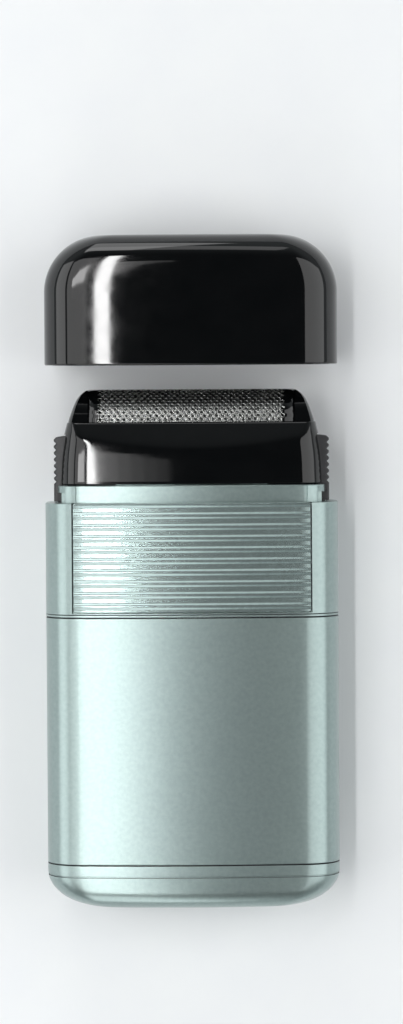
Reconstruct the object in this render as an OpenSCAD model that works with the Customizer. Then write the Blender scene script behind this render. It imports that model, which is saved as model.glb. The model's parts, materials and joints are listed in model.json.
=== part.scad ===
// Pocket foil shaver with one AA cell, a small motor and a cap that is off and lies beyond the head.
// Millimetres. Each piece is drawn standing up, with z from the base to the head and -y at the front.
// laid() then puts it on its back: head towards +Y, front face up, origin below the middle of it all.

/* [Shells] */
// Width across the shells
body_w = 54; // [52:0.5:58]
// Thickness from the flat back to the crown of the front
body_t = 22; // [21.6:0.2:24]
// Radius of the four long edges
corner_r = 6.75; // [5.5:0.25:7.5]
// Radius of the arched front
arch_r = 200; // [170:10:320]
// Thickness of the shell walls
wall = 1.6; // [1.4:0.05:1.7]
// Open line between neighbouring shells
seam = 0.15; // [0.1:0.05:0.3]
// Clearance of what slides into a shell
fit = 0.12; // [0.08:0.02:0.2]
// Height of the base cap
base_h = 8; // [7.2:0.2:9]
// Height of the lower shell
lower_h = 45.5; // [45:0.5:53]
// Height of the thin band at the waist
waist_h = 0.5; // [0.45:0.05:1.5]
// Height of the upper shell
upper_h = 20.5; // [20:0.25:23]
// Width of the rounding of the base cap's ends
base_round_w = 10; // [8:0.5:12]
// Height of that rounding
base_round_h = 6.6; // [5:0.2:6.8]
// Radius of the base cap's front and back edges
base_edge_r = 3.2; // [2:0.2:4]
// Thickness of the base cap's floor
base_floor = 1.8; // [1.6:0.1:2]

/* [Collar and head] */
// Height of the collar
collar_h = 3.2; // [3:0.1:4]
// How far the collar is set back from the shells
collar_inset = 2.15; // [2:0.05:2.4]
// Thickness of the collar's deck
deck_t = 1.6; // [1.5:0.1:1.8]
// How far the foot of the head is set back from the shells
head_inset = 2.75; // [2.6:0.05:3]
// Height from the collar to the crown of the foil
head_h = 17.6; // [17.4:0.1:19]
// Outside radius of the foil's arch
foil_r = 4.8; // [4.7:0.05:5]
// Thickness of the foil, its rolled edges included
foil_t = 0.25; // [0.15:0.05:0.3]
// Length of the foil
foil_w = 38; // [37:0.25:38.5]
// Height of the foil that shows above the head's lip
foil_show = 6; // [5.6:0.1:6.4]
// Height above the collar at which the head's front starts to lean in
head_lean_h = 6.6; // [6:0.2:7.5]
// How far the cap reaches above the shells when it is on
cap_h = 24; // [23.6:0.2:27]
// Thickness of the cap's wall
cap_wall = 1.2; // [1:0.05:1.3]
// Radius of the cap's top corners, seen from the front
cap_corner_r = 10.5; // [9:0.5:12]
// Radius of the cap's top edges, seen from the side
cap_edge_r = 5; // [3:0.5:6]
// Gap between the cap that lies beyond the head and the foil
cap_gap = 4.4; // [2:0.2:10]

/* [Switch plate] */
// Width of the ribbed plate
plate_w = 43.5; // [42.5:0.5:45]
// Depth of the recess that it slides in
recess = 2; // [1.9:0.05:2.1]
// Open line around the plate
plate_gap = 0.25; // [0.2:0.05:0.4]
// Number of ribs
ribs = 9; // [6:1:11]
// Depth of the grooves between the ribs
rib_depth = 0.55; // [0.3:0.05:0.7]
// Travel of the switch from off to on
switch_travel = 3; // [2.5:0.1:3]

/* [Release buttons] */
// Width of a button, front to back
button_w = 9; // [8:0.25:9.5]
// How far a button stands out past the head's foot
button_proud = 1.1; // [0.8:0.05:1.2]
// Thickness of a button
button_t = 2.75; // [2.6:0.05:3]
// Height of a button above the collar
button_h = 9.2; // [8:0.2:10]
// Travel of a button
button_travel = 0.8; // [0.5:0.05:0.9]

/* [Drive] */
// Radius of the motor's can
motor_r = 10.05; // [9.8:0.05:10.2]
// Thickness across the can's flats
motor_flat = 15.1; // [14.6:0.1:15.4]
// Distance from the drive pin to the motor's shaft
motor_x = 7; // [6:0.25:8.5]
// Length of the can
can_len = 20; // [18:0.5:21]
// Length of the motor's plastic end
motor_end_len = 5; // [4:0.25:5.5]
// Radius of the motor's shaft
shaft_r = 1; // [0.8:0.05:1.1]
// Radius of the drive pin
pin_r = 1.5; // [1.3:0.05:1.6]
// Throw of the eccentric
throw = 1; // [0.8:0.05:1.1]
// Side travel of the blades either way
stroke = 1; // [0.8:0.05:1.1]
// Float of the blades against their spring
float_travel = 0.8; // [0.5:0.05:0.9]
// Number of inner blades
blades = 23; // [15:2:27]
// Height gap between parts that move past each other
run = 0.5; // [0.4:0.05:0.6]

/* [Battery] */
// Radius of the AA cell
cell_r = 7.25; // [7:0.05:7.25]
// Length of the cell without its raised end
cell_len = 49.2; // [48.5:0.1:49.5]
// Radius of its raised end
nub_r = 2.75; // [2.5:0.05:2.9]
// Height of its raised end
nub_h = 1.3; // [1:0.1:1.4]
// Clearance of the cell in its tube
cell_clear = 0.35; // [0.25:0.05:0.4]
// Wall of the tube
tube_wall = 0.9; // [0.8:0.05:0.95]
// Height of the pressed spring under the cell
cell_spring_h = 3.5; // [3:0.1:4]

/* [Hidden] */
$fn = 64;

silver = "#b3babb";
gloss_black = "#15161a";
dark_grey = "#34373b";
off_white = "#e6e3da";
steel = "#c3c6c8";
brass = "#c9a24a";
copper = "#b8733a";
rubber = "#24262a";
red = "#b02a24";
cell_gold = "#c99a45";

// heights of the joints between pieces, from the base up
waist_z = base_h + lower_h;
upper_z = waist_z + waist_h;
shoulder_z = upper_z + upper_h;
collar_z = shoulder_z + collar_h;
head_z = collar_z + 0.2;
crown_z = collar_z + head_h;
foil_z = crown_z - foil_r;
lip_z = crown_z - foil_show;
lean_z = collar_z + head_lean_h;
cap_off = crown_z + cap_gap - shoulder_z;
total_len = shoulder_z + cap_off + cap_h;

// centres of the long edges' rounding, the same for every inset; the front ones stand a hair
// proud of the arch, so that the two curves cross
corner_x = body_w / 2 - corner_r;
corner_proud = 0.02;
arch_y = arch_r - body_t / 2;
front_corner_y = arch_y - sqrt(pow(arch_r - corner_r + corner_proud, 2) - pow(corner_x, 2));
back_corner_y = body_t / 2 - corner_r;

// depths, from the front (-y) to the back
recess_y = recess - body_t / 2;
floor_t = 1;
floor_y = recess_y + floor_t;
recess_w = plate_w + 2 * plate_gap;
inner_back_y = body_t / 2 - wall - fit;

// battery and its tube
tube_bore_r = cell_r + cell_clear;
tube_r = tube_bore_r + tube_wall;
cell_x = tube_r + wall + 1.4 - body_w / 2;
cell_y = inner_back_y - tube_r;
contact_t = 0.4;
tongue_x0 = 1.5;
tongue_x1 = 5;
plate_t = 0.3;
spring_foot_r = 3;
cell_z = base_floor + plate_t + cell_spring_h;
tube_top = cell_z + cell_len + nub_h + contact_t;
tube_lid_t = 1.2;

// drive train, worked down from the collar's deck
osc_t = 2.2;
osc_top = collar_z - deck_t - run;
osc_z = osc_top - osc_t;
rim_t = 1.6;
rim_top = osc_z - run;
rim_z = rim_top - rim_t;
hub_r = 3.2;
hub_h = 3;
hub_top = rim_z - run;
hub_z = hub_top - hub_h;
motor_plate_t = 1.4;
boss_r = 3;
boss_top = hub_z - 0.2;
motor_face = boss_top - motor_plate_t;
can_z = motor_face - can_len;
motor_z = can_z - motor_end_len;
can_t = 0.7;
crank_r = 0.75;
cradle_t = 1.2;
cradle_gap = 0.2;
cradle_x0 = motor_x - motor_r - cradle_gap - cradle_t;
cradle_x1 = motor_x + motor_r + cradle_gap + cradle_t;
spine_t = 1.4;
spine_y = inner_back_y - spine_t;
post_x = 17.5;
post_y = 4.8;
post_r = 2.3;
screw_r = 0.8;
screw_head_r = 1.6;
screw_len = 6;
motor_screw_y = 5;
motor_plate_y = -6.3;
brush_x = 4;
tab_z = motor_z - 3;
lead_d = 1.1;
lead_x = cradle_x0 - 1.2;

// flexure legs stand at both ends of the oscillator
leg_t = 0.5;
leg_w = 8;
leg_x0 = cell_x + tongue_x1 + 1.9;
leg_x1 = motor_x + 5.2;
leg_seat = 0.8;
osc_half_d = 5;

// chassis floor, which is also the spigot for the base cap
base_inner_round_w = base_round_w - 4;
spigot_z = base_h - 3;
spigot_top = base_h + 1.6;
gasket_z = base_h - 1.1;
gasket_h = 0.9;
gasket_w = 1;

// switch
stem_w = 4.4;
stem_h = 5;
stem_z = tube_top + tube_lid_t + 2.3;
slider_y0 = floor_y + 0.15;
slider_y1 = slider_y0 + 2;
slider_w = 11;
slider_z = tube_top + tube_lid_t + 0.5;
slider_h = 8.2;
switch_wall_y = -4.4;
strip_t = 0.3;
lead_y = switch_wall_y - 0.4;
strip_x = -1;
strip_w = 4;
clip_x = min(plate_w / 2 - 2.2, corner_x - 0.7);
clip_stem_w = 3;
clip_wall = 1;

// release buttons
button_x1 = body_w / 2 - head_inset + button_proud;
button_x0 = button_x1 - button_t;
button_z = collar_z - 2.95;
button_top = collar_z + button_h;
pocket_x = button_x0 - button_travel - 0.4;
pocket_gap = 0.15;
spring_z = collar_z + 4.5;
spring_r = 1.1;
spring_sink = 1.2;

// blades, drive pin and foil holder
blade_r = foil_r - foil_t - 0.25;
blade_z = foil_z - 1.7;
flange_r = 3.2;
flange_z = collar_z + 2.3;
flange_t = 0.6;
blade_spring_h = 2.4;
carrier_z = flange_z + flange_t + blade_spring_h;
carrier_bar_z = carrier_z + 2;
pin_top = carrier_z + 3;
carrier_end = 1.8;
holder_z = lean_z - 0.3;
holder_top = holder_z + 1.8;
holder_x = foil_w / 2 + 0.7;
holder_y = foil_r + 1.05;
seat_gap = 0.05;
clamp_gap = 0.02;
cavity_x = pocket_x - 1.2;
cavity_y = body_t / 2 - head_inset - 1.65;
seal_r = 5;
seal_bore_r = 4;
rib_wall = 1.05;
guide_w = 28;
guide_h = 2.1;

// ---- helpers ----

// puts a standing piece on its back
module laid() {
    translate([0, -total_len / 2, body_t / 2]) rotate([-90, 0, 0]) children();
}

// a box between two corners
module block(a, b) {
    translate(a) cube(b - a);
}

// an upright box centred on the body's axis, given by its half width and half depth
module centred(half_w, half_d, z0, z1) {
    block([-half_w, -half_d, z0], [half_w, half_d, z1]);
}

// a shape and its mirror image on the other side of the body
module both_sides() {
    children();
    mirror([1, 0, 0]) children();
}

// the body's cross-section, drawn in by an inset: flat back, round long edges, arched front
module outline(inset = 0) {
    half_w = body_w / 2 - inset;
    reach = 1.1;
    for (s = [-1, 1], y = [front_corner_y, back_corner_y])
        translate([s * corner_x, y]) circle(corner_r - inset);
    translate([-half_w, front_corner_y])
        square([2 * half_w, back_corner_y - front_corner_y]);
    translate([-corner_x, front_corner_y])
        square([2 * corner_x, body_t / 2 - inset - front_corner_y]);
    intersection() {
        translate([0, arch_y]) circle(arch_r - inset, $fn = 900);
        polygon([
            [-corner_x, front_corner_y],
            [corner_x, front_corner_y],
            [corner_x * reach, arch_y + (front_corner_y - arch_y) * reach],
            [-corner_x * reach, arch_y + (front_corner_y - arch_y) * reach]
        ]);
    }
}

// the cross-section between two heights
module slab(z0, z1, inset = 0) {
    translate([0, 0, z0]) linear_extrude(z1 - z0) outline(inset);
}

// a wall that follows the cross-section
module ring(z0, z1, outer, inner) {
    difference() {
        slab(z0, z1, outer);
        slab(z0 - 1, z1 + 1, inner);
    }
}

// a shape drawn in (x, z), as thick as depth
module seen_from_front(depth) {
    rotate([90, 0, 0]) linear_extrude(depth, center = true) children();
}

// a shape drawn in (y, z), as long as length
module seen_from_side(length) {
    rotate([90, 0, 90]) linear_extrude(length, center = true) children();
}

// a quarter ellipse about a centre, from angle a0 on
function quarter(c, rx, ry, a0, steps = 10) =
    [for (i = [0:steps]) c + [rx * cos(a0 + 90 * i / steps), ry * sin(a0 + 90 * i / steps)]];

// a profile of the given width whose two top corners are rounded
module round_top(w, z0, z1, rx, ry) {
    polygon(concat(
        [[-w / 2, z0], [w / 2, z0]],
        quarter([w / 2 - rx, z1 - ry], rx, ry, 0),
        quarter([rx - w / 2, z1 - ry], rx, ry, 90)
    ));
}

// the same, with its two bottom corners rounded
module round_bottom(w, z0, z1, rx, ry) {
    translate([0, z0 + z1]) mirror([0, 1]) round_top(w, z0, z1, rx, ry);
}

// an upright cylinder between two heights
module bore(x, y, z0, z1, r) {
    translate([x, y, z0]) cylinder(h = z1 - z0, r = r);
}

// the points of a smooth curve through a list of points
function smooth(p, steps = 6) = [
    for (i = [0:len(p) - 2], k = [0:steps - 1])
        let (
            a = p[max(i - 1, 0)],
            b = p[i],
            c = p[i + 1],
            d = p[min(i + 2, len(p) - 1)],
            t = k / steps
        )
        b + t / 2 * (c - a + t * (2 * a - 5 * b + 4 * c - d + t * (3 * b - a - 3 * c + d))),
    p[len(p) - 1]
];

// a wire that follows a list of points
module wire(points, d, sides = 8) {
    path = smooth(points);
    last = len(path) - 1;
    rings = [
        for (i = [0:last], k = [0:sides - 1])
            let (
                ahead = path[min(i + 1, last)] - path[max(i - 1, 0)],
                side = cross(ahead, [0.3, 1, 0.2]),
                up = cross(side, ahead),
                a = 360 * k / sides
            )
            path[i] + d / 2 * (cos(a) * side / norm(side) + sin(a) * up / norm(up))
    ];
    swept(rings, last, sides);
}

// closes a swept stack of rings into a solid
module swept(points, count, sides) {
    polyhedron(points, concat(
        [[for (k = [sides - 1:-1:0]) k]],
        [[for (k = [0:sides - 1]) count * sides + k]],
        [
            for (i = [0:count - 1], k = [0:sides - 1])
                let (a = i * sides + k, b = i * sides + (k + 1) % sides)
                [a, b, b + sides, a + sides]
        ]
    ));
}

// a coil spring: one round wire swept from radius r0 at the bottom to r1 at the top
module coil(r0, r1, h, wire_d, turns, steps = 14, sides = 6) {
    count = turns * steps;
    rise = h - wire_d;
    points = [
        for (i = [0:count], k = [0:sides - 1])
            let (
                t = i / count,
                a = 360 * turns * t,
                r = r0 + (r1 - r0) * t + wire_d / 2 * cos(360 * k / sides)
            )
            [r * cos(a), r * sin(a), wire_d / 2 + rise * t + wire_d / 2 * sin(360 * k / sides)]
    ];
    swept(points, count, sides);
}

// the inside of the base cap, drawn in by a gap
module base_inside(gap, top) {
    intersection() {
        slab(base_floor + gap, top, wall + gap);
        seen_from_front(body_t) round_bottom(
            body_w - 2 * (wall + gap), base_floor + gap, top, base_inner_round_w, base_round_h - wall
        );
    }
}

// ---- shells ----

module lower_shell() {
    color(silver) laid() ring(base_h + seam, waist_z - seam / 2, 0, wall);
}

module waist_band() {
    color(silver) laid() ring(waist_z + seam / 2, upper_z - seam / 2, 0, wall);
}

module upper_shell() {
    ledge_t = 1.4;
    ledge_gap = 0.1;
    bottom = upper_z + seam / 2;
    color(silver) laid() difference() {
        union() {
            difference() {
                slab(bottom, shoulder_z, 0);
                slab(bottom - 1, shoulder_z - ledge_t, wall);
                slab(shoulder_z - ledge_t - 1, shoulder_z + 1, collar_inset - ledge_gap);
            }
            block([-recess_w / 2 - 1, recess_y, bottom], [recess_w / 2 + 1, floor_y, shoulder_z]);
        }
        block([-recess_w / 2, -body_t, bottom + plate_gap], [recess_w / 2, recess_y, shoulder_z + 1]);
        plate_stems(-body_t, 0, 0.2, switch_travel);
    }
}

module collar() {
    skirt_z = rim_top + 0.1;
    skirt_t = 1.2;
    channel = 0.35;
    channel_y = channel - body_t / 2 + collar_inset;
    rib_y = cavity_y - 0.15;
    notch_h = 1.9;
    notch_x = body_w / 2 - 3.7;
    head_sink = 0.9;
    color(silver) laid() difference() {
        union() {
            slab(shoulder_z, collar_z, collar_inset);
            ring(skirt_z, shoulder_z + 0.5, collar_inset, collar_inset + skirt_t);
            for (y = [rib_y, rib_wall - rib_y])
                block([-guide_w / 2, y - rib_wall, collar_z - 0.1], [guide_w / 2, y, collar_z + guide_h]);
        }
        slab(skirt_z - 1, collar_z - deck_t, collar_inset + skirt_t);
        block([-recess_w / 2, -body_t, skirt_z - 1], [recess_w / 2, channel_y, collar_z + 1]);
        block(
            [-recess_w / 2 - skirt_t, -body_t, skirt_z - 1],
            [recess_w / 2 + skirt_t, floor_y + 0.1, shoulder_z]
        );
        bore(0, 0, shoulder_z - 1, collar_z + 1, seal_bore_r);
        both_sides() {
            button_slot(skirt_z - 1, collar_z + 1);
            block([notch_x, -body_t / 2, shoulder_z], [body_w / 2, 0, shoulder_z + notch_h]);
            bore(post_x, post_y, skirt_z, collar_z + 1, screw_r);
            bore(post_x, post_y, collar_z - head_sink, collar_z + 1, screw_head_r + 0.15);
        }
    }
}

// the room that a release button's tongue needs in the collar and the chassis
module button_slot(z0, z1) {
    block([pocket_x + 0.1, -button_w / 2 - pocket_gap, z0], [body_w / 2, button_w / 2 + pocket_gap, z1]);
}

module base_cap() {
    line_z = base_h - 2.1;
    line_w = 0.2;
    color(silver) laid() difference() {
        intersection() {
            slab(0, base_h, 0);
            seen_from_front(body_t + 2) round_bottom(body_w, 0, base_h, base_round_w, base_round_h);
            seen_from_side(body_w + 2) round_bottom(body_t, 0, base_h, base_edge_r, base_edge_r);
        }
        base_inside(0, base_h + 1);
        ring(line_z - line_w / 2, line_z + line_w / 2, -1, line_w);
    }
}

module base_gasket() {
    color(rubber) laid() ring(gasket_z, gasket_z + gasket_h, wall + 0.05, wall + gasket_w);
}

// ---- battery and its contacts ----

module battery() {
    color(cell_gold) laid() translate([cell_x, cell_y, cell_z]) {
        cylinder(h = cell_len, r = cell_r);
        translate([0, 0, cell_len]) cylinder(h = nub_h, r = nub_r);
    }
}

module cell_spring() {
    spring_top_r = 5;
    wire_d = 0.7;
    turns = 3;
    color(steel) laid() translate([cell_x, cell_y, base_floor + plate_t])
        coil(spring_foot_r, spring_top_r, cell_spring_h, wire_d, turns);
}

// a plate under the spring, with an arm and an upturned tab that meets the negative strip
module base_contact() {
    half = spring_foot_r + 0.8;
    arm_y0 = 3.2;
    arm_y1 = 6.2;
    tab_x = strip_x + 2.5;
    top = base_floor + plate_t;
    color(steel) laid() {
        block([cell_x - half, cell_y - half, base_floor], [cell_x + 5.5, cell_y + half + 1, top]);
        block([cell_x + 5.5, arm_y0, base_floor], [tab_x, arm_y1, top]);
        block([tab_x - plate_t, arm_y0, top], [tab_x, arm_y1, spigot_z - strip_t]);
    }
}

module negative_strip() {
    strip_top = motor_z - 5;
    foot_y = 2.5;
    color(brass) laid() {
        block([strip_x, foot_y, spigot_z - strip_t], [strip_x + strip_w, spine_y, spigot_z]);
        block([strip_x, spine_y - strip_t, spigot_z], [strip_x + strip_w, spine_y, strip_top]);
    }
}

// a disc above the cell with a tongue that reaches the switch
module positive_contact() {
    color(brass) laid() {
        bore(cell_x, cell_y, tube_top - contact_t, tube_top, tube_bore_r - 0.2);
        block(
            [cell_x - tongue_x1, switch_wall_y - strip_t, tube_top],
            [cell_x - tongue_x0, switch_wall_y, tube_top + 8]
        );
    }
}

module switch_contact() {
    color(brass) laid() block(
        [cell_x + tongue_x0, switch_wall_y - strip_t, slider_z + 4.6],
        [cell_x + tongue_x1, switch_wall_y, rim_z - run]
    );
}

// ---- chassis ----

module chassis() {
    inner = wall + fit;
    rim_y = 5.9;
    cradle_y = -3;
    tube_lid = tube_top + tube_lid_t;
    deck_z = collar_z - deck_t;
    color(dark_grey) laid() difference() {
        union() {
            intersection() {
                slab(spigot_z, spigot_top, inner);
                base_inside(fit, spigot_top + 1);
            }
            bore(cell_x, cell_y, spigot_top - 1, tube_lid, tube_r);
            block([-corner_x, spine_y, spigot_top - 1], [corner_x, inner_back_y, rim_top]);
            block([cradle_x0, cradle_y, motor_z - cradle_t], [cradle_x1, inner_back_y, motor_z]);
            for (x = [cradle_x0, cradle_x1 - cradle_t])
                block([x, cradle_y, motor_z - cradle_t], [x + cradle_t, inner_back_y, boss_top]);
            block([leg_x0 - 0.9, motor_plate_y, motor_face], [cradle_x1, inner_back_y, boss_top]);
            difference() {
                slab(rim_z, rim_top, inner);
                block([leg_x0 - 2.4, -rim_y, rim_z - 1], [leg_x1 + 6.8, rim_y, rim_top + 1]);
            }
            bore(-post_x, post_y, tube_lid - 0.5, deck_z, post_r);
            bore(post_x, post_y, motor_face, deck_z, post_r);
            block(
                [cell_x - tongue_x1 - 1, switch_wall_y, tube_lid - 0.5],
                [cell_x + tongue_x1 + 1, switch_wall_y + cradle_t, rim_top]
            );
        }
        bore(cell_x, cell_y, spigot_z - 1, tube_top, tube_bore_r);
        bore(motor_x, 0, motor_face - 1, boss_top + 1, boss_r + 0.1);
        block(
            [cell_x - tongue_x1 - 0.2, switch_wall_y - 1.2, tube_top - 1],
            [cell_x - tongue_x0 + 0.2, switch_wall_y, tube_lid + 2]
        );
        block(
            [strip_x - 0.1, spine_y - strip_t - 0.1, spigot_z - 1],
            [strip_x + strip_w + 0.1, spine_y, spigot_top + 1]
        );
        block([motor_x - 6, -5, motor_z - 2], [motor_x + 6, 0, motor_z + 1]);
        block(
            [-recess_w / 2 - cradle_t, -body_t, upper_z],
            [recess_w / 2 + cradle_t, floor_y + 0.35, rim_top + 1]
        );
        both_sides() {
            bore(post_x, post_y, deck_z - screw_len - 1, collar_z, screw_r - 0.15);
            button_slot(rim_z - 1, rim_top + 1);
        }
        for (s = [-1, 1]) bore(motor_x, motor_screw_y * s, motor_face - 1, boss_top + 1, screw_r);
        block(
            [lead_x - lead_d / 2 - 0.35, motor_plate_y - 1, motor_face - 1],
            [lead_x + lead_d / 2 + 0.35, lead_y + lead_d / 2 + 0.35, boss_top + 1]
        );
        ring(gasket_z - 0.1, gasket_z + gasket_h + 0.1, 0, wall + gasket_w + 0.05);
    }
}

module collar_screws() {
    color(steel) laid() both_sides() {
        bore(post_x, post_y, collar_z - deck_t - screw_len, collar_z - 0.9, screw_r - 0.16);
        bore(post_x, post_y, collar_z - 0.9, collar_z - 0.05, screw_head_r);
    }
}

// ---- switch ----

// the plate's section: smooth ribs on the arched front, flat where it slides
module plate_profile(z0, z1) {
    steps = 8;
    crest = arch_r;
    pitch = (z1 - z0) / (ribs + 0.5);
    polygon(concat(
        [[crest - recess - 2, z0], [crest, z0], [crest, z0 + pitch / 2]],
        [
            for (i = [1:ribs * steps])
                [crest - rib_depth * (1 - cos(360 * i / steps)) / 2, z0 + pitch * (0.5 + i / steps)]
        ],
        [[crest - recess - 2, z1]]
    ));
}

// the plate's two stems between two depths, or with a gap and a travel, the slots for them
module plate_stems(y0, y1, gap = 0, travel = 0) {
    for (stem = [[cell_x, stem_w], [clip_x, clip_stem_w]])
        block(
            [stem[0] - stem[1] / 2 - gap, y0, stem_z - gap],
            [stem[0] + stem[1] / 2 + gap, y1, stem_z + stem_h + travel + gap]
        );
}

module switch_plate() {
    z0 = upper_z + seam / 2 + 2 * plate_gap;
    z1 = shoulder_z - 0.2;
    color(silver) laid() {
        intersection() {
            translate([0, arch_y, 0]) rotate([0, 0, 255])
                rotate_extrude(angle = 30, $fn = 900) plate_profile(z0, z1);
            block([-plate_w / 2, -body_t, z0 - 1], [plate_w / 2, recess_y - 0.1, z1 + 1]);
        }
        plate_stems(recess_y - 0.5, slider_y1 - 0.6);
    }
}

module switch_slider() {
    color(gloss_black) laid() difference() {
        block(
            [cell_x - slider_w / 2, slider_y0, slider_z],
            [cell_x + slider_w / 2, slider_y1, slider_z + slider_h]
        );
        plate_stems(slider_y0 - 1, slider_y1 - 0.55, 0.03);
    }
}

// the clip that holds the plate's other stem
module plate_clip() {
    color(gloss_black) laid() difference() {
        block(
            [clip_x - clip_stem_w / 2 - clip_wall, slider_y0, stem_z - clip_wall],
            [clip_x + clip_stem_w / 2 + clip_wall, slider_y1 - 0.6, stem_z + stem_h + clip_wall]
        );
        plate_stems(slider_y0 - 1, slider_y1, 0.03);
    }
}

module switch_bridge() {
    bridge_y = switch_wall_y - strip_t - 0.1;
    color(brass) laid() {
        block([cell_x - 4.6, slider_y1, slider_z + 0.8], [cell_x + 4.6, slider_y1 + 0.3, slider_z + 3.6]);
        for (s = [-1, 1])
            block(
                [cell_x + 3.2 * s - 0.7, slider_y1 + 0.3, slider_z + 1.6],
                [cell_x + 3.2 * s + 0.7, bridge_y, slider_z + 2.8]
            );
    }
}

// ---- motor ----

// a round can with two flats
module flatted(z0, z1, r, flat) {
    intersection() {
        bore(motor_x, 0, z0, z1, r);
        block([motor_x - r - 1, -flat / 2, z0 - 1], [motor_x + r + 1, flat / 2, z1 + 1]);
    }
}

module motor_can() {
    color(steel) laid() difference() {
        union() {
            flatted(can_z, motor_face, motor_r, motor_flat);
            bore(motor_x, 0, motor_face - 0.5, boss_top, boss_r);
        }
        flatted(can_z - 1, motor_face - can_t, motor_r - can_t, motor_flat - 2 * can_t);
        bore(motor_x, 0, motor_face - 1, boss_top - 0.3, boss_r - 0.8);
        bore(motor_x, 0, motor_face - 1, boss_top + 1, shaft_r + 0.15);
        for (s = [-1, 1])
            bore(motor_x, motor_screw_y * s, motor_face - 1, motor_face + 1, screw_r - 0.1);
    }
}

module motor_end_cap() {
    color(off_white) laid() difference() {
        flatted(motor_z, can_z, motor_r, motor_flat);
        flatted(motor_z + 1.2, can_z + 1, motor_r - 1.2, motor_flat - 2.4);
        bore(motor_x, 0, motor_z - 1, can_z, shaft_r + 0.05);
        for (s = [-1, 1])
            block(
                [motor_x + brush_x * s - 0.3, -4.1, motor_z - 1],
                [motor_x + brush_x * s + 0.3, -1.9, motor_z + 2]
            );
    }
}

module motor_magnets() {
    magnet_t = 1.9;
    magnet_w = motor_flat - 2 * can_t - 1.3;
    outer = motor_r - can_t - 0.05;
    color(dark_grey) laid() difference() {
        flatted(can_z + 1, motor_face - can_t - 1.5, outer, magnet_w);
        bore(motor_x, 0, can_z, motor_face, outer - magnet_t);
    }
}

module motor_bush() {
    color(brass) laid() difference() {
        bore(motor_x, 0, motor_face - can_t - 1, boss_top - 0.3, boss_r - 0.8);
        bore(motor_x, 0, can_z, boss_top + 1, shaft_r + 0.04);
    }
}

// two leaves that run from the solder tabs to the commutator
module motor_brushes() {
    brush_top = 3.6;
    color(copper) laid() for (s = [-1, 1]) {
        block(
            [motor_x + brush_x * s - 0.25, -4, tab_z],
            [motor_x + brush_x * s + 0.25, -2, motor_z + brush_top]
        );
        block(
            [motor_x + min(2.3 * s, brush_x * s + 0.25 * s), -2, motor_z + brush_top - 0.8],
            [motor_x + max(2.3 * s, brush_x * s + 0.25 * s), 0.6, motor_z + brush_top]
        );
    }
}

module motor_shaft() {
    color(steel) laid() bore(motor_x, 0, motor_z + 0.3, hub_top - 0.2, shaft_r);
}

module armature() {
    slots = 3;
    core_r = motor_flat / 2 - can_t - 0.45;
    color(copper) laid() difference() {
        union() {
            bore(motor_x, 0, can_z + 3, motor_face - 4, core_r);
            bore(motor_x, 0, motor_z + 1.8, can_z + 3, 2.2);
        }
        bore(motor_x, 0, motor_z, motor_face, shaft_r);
        for (i = [0:slots - 1])
            translate([motor_x, 0, 0]) rotate([0, 0, 360 * i / slots + 30])
                block([2.6, -0.5, can_z + 2.9], [core_r + 1, 0.5, motor_face]);
    }
}

module eccentric() {
    color(off_white) laid() difference() {
        union() {
            bore(motor_x, 0, hub_z, hub_top, hub_r);
            bore(motor_x, throw, hub_top - 0.5, osc_top - 0.3, crank_r);
        }
        bore(motor_x, 0, hub_z - 1, hub_top - 0.2, shaft_r);
    }
}

module motor_screws() {
    color(steel) laid() for (s = [-1, 1]) {
        bore(motor_x, motor_screw_y * s, motor_face - can_t, boss_top, screw_r - 0.1);
        bore(motor_x, motor_screw_y * s, boss_top, boss_top + 0.8, 1.3);
    }
}

// one lead runs from the switch through the motor plate's notch, one from the negative strip
module motor_leads() {
    left_tab = [motor_x - brush_x, -3, tab_z - 0.06];
    right_tab = [motor_x + brush_x, -3, tab_z - 0.06];
    strip_mid = strip_x + strip_w / 2;
    color(red) laid() wire([
        [cell_x + tongue_x1 - 0.6, switch_wall_y - strip_t - lead_d / 2, boss_top + 2],
        [leg_x0 + 0.6, lead_y - 0.3, boss_top + 2],
        [lead_x, lead_y, boss_top + 0.6],
        [lead_x, lead_y, motor_face - 4],
        [lead_x, lead_y, tab_z + 4],
        [lead_x + 1, lead_y, tab_z - 0.6],
        left_tab - [0, 0, 2],
        left_tab - [0, 0, 0.8],
        left_tab
    ], lead_d);
    color(gloss_black) laid() wire([
        [strip_mid, spine_y - strip_t - lead_d / 2, motor_z - 6],
        [strip_mid, 2, motor_z - 8],
        right_tab - [0, 0, 3],
        right_tab - [0, 0, 0.8],
        right_tab
    ], lead_d);
}

// ---- oscillator and blades ----

module oscillator() {
    window_x = throw + crank_r + stroke + 0.15;
    window_y = throw + crank_r + 0.25;
    color(off_white) laid() difference() {
        block([leg_x0 - leg_seat, -osc_half_d, osc_z], [leg_x1 + leg_seat, osc_half_d, osc_top]);
        block([motor_x - window_x, -window_y, osc_z - 1], [motor_x + window_x, window_y, osc_top + 1]);
        bore(0, 0, osc_z - 1, osc_top + 1, pin_r);
        both_legs(osc_z - 1, osc_z + 1);
    }
}

module flexure_legs() {
    color(steel) laid() both_legs(boss_top, osc_z + 1);
}

module both_legs(z0, z1) {
    for (x = [leg_x0, leg_x1])
        translate([x, 0]) centred(leg_t / 2, leg_w / 2, z0, z1);
}

module drive_pin() {
    color(steel) laid() {
        bore(0, 0, osc_z, pin_top, pin_r);
        bore(0, 0, flange_z, flange_z + flange_t, flange_r);
    }
}

module drive_seal() {
    color(rubber) laid() difference() {
        union() {
            bore(0, 0, collar_z, collar_z + 0.8, seal_r);
            bore(0, 0, collar_z, collar_z + 2, pin_r + 0.8);
        }
        bore(0, 0, collar_z - 1, collar_z + 3, pin_r + 0.03);
    }
}

module blade_spring() {
    coil_r = 2.5;
    wire_d = 0.4;
    color(steel) laid() translate([0, 0, flange_z + flange_t])
        coil(coil_r, coil_r, blade_spring_h, wire_d, 4);
}

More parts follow.
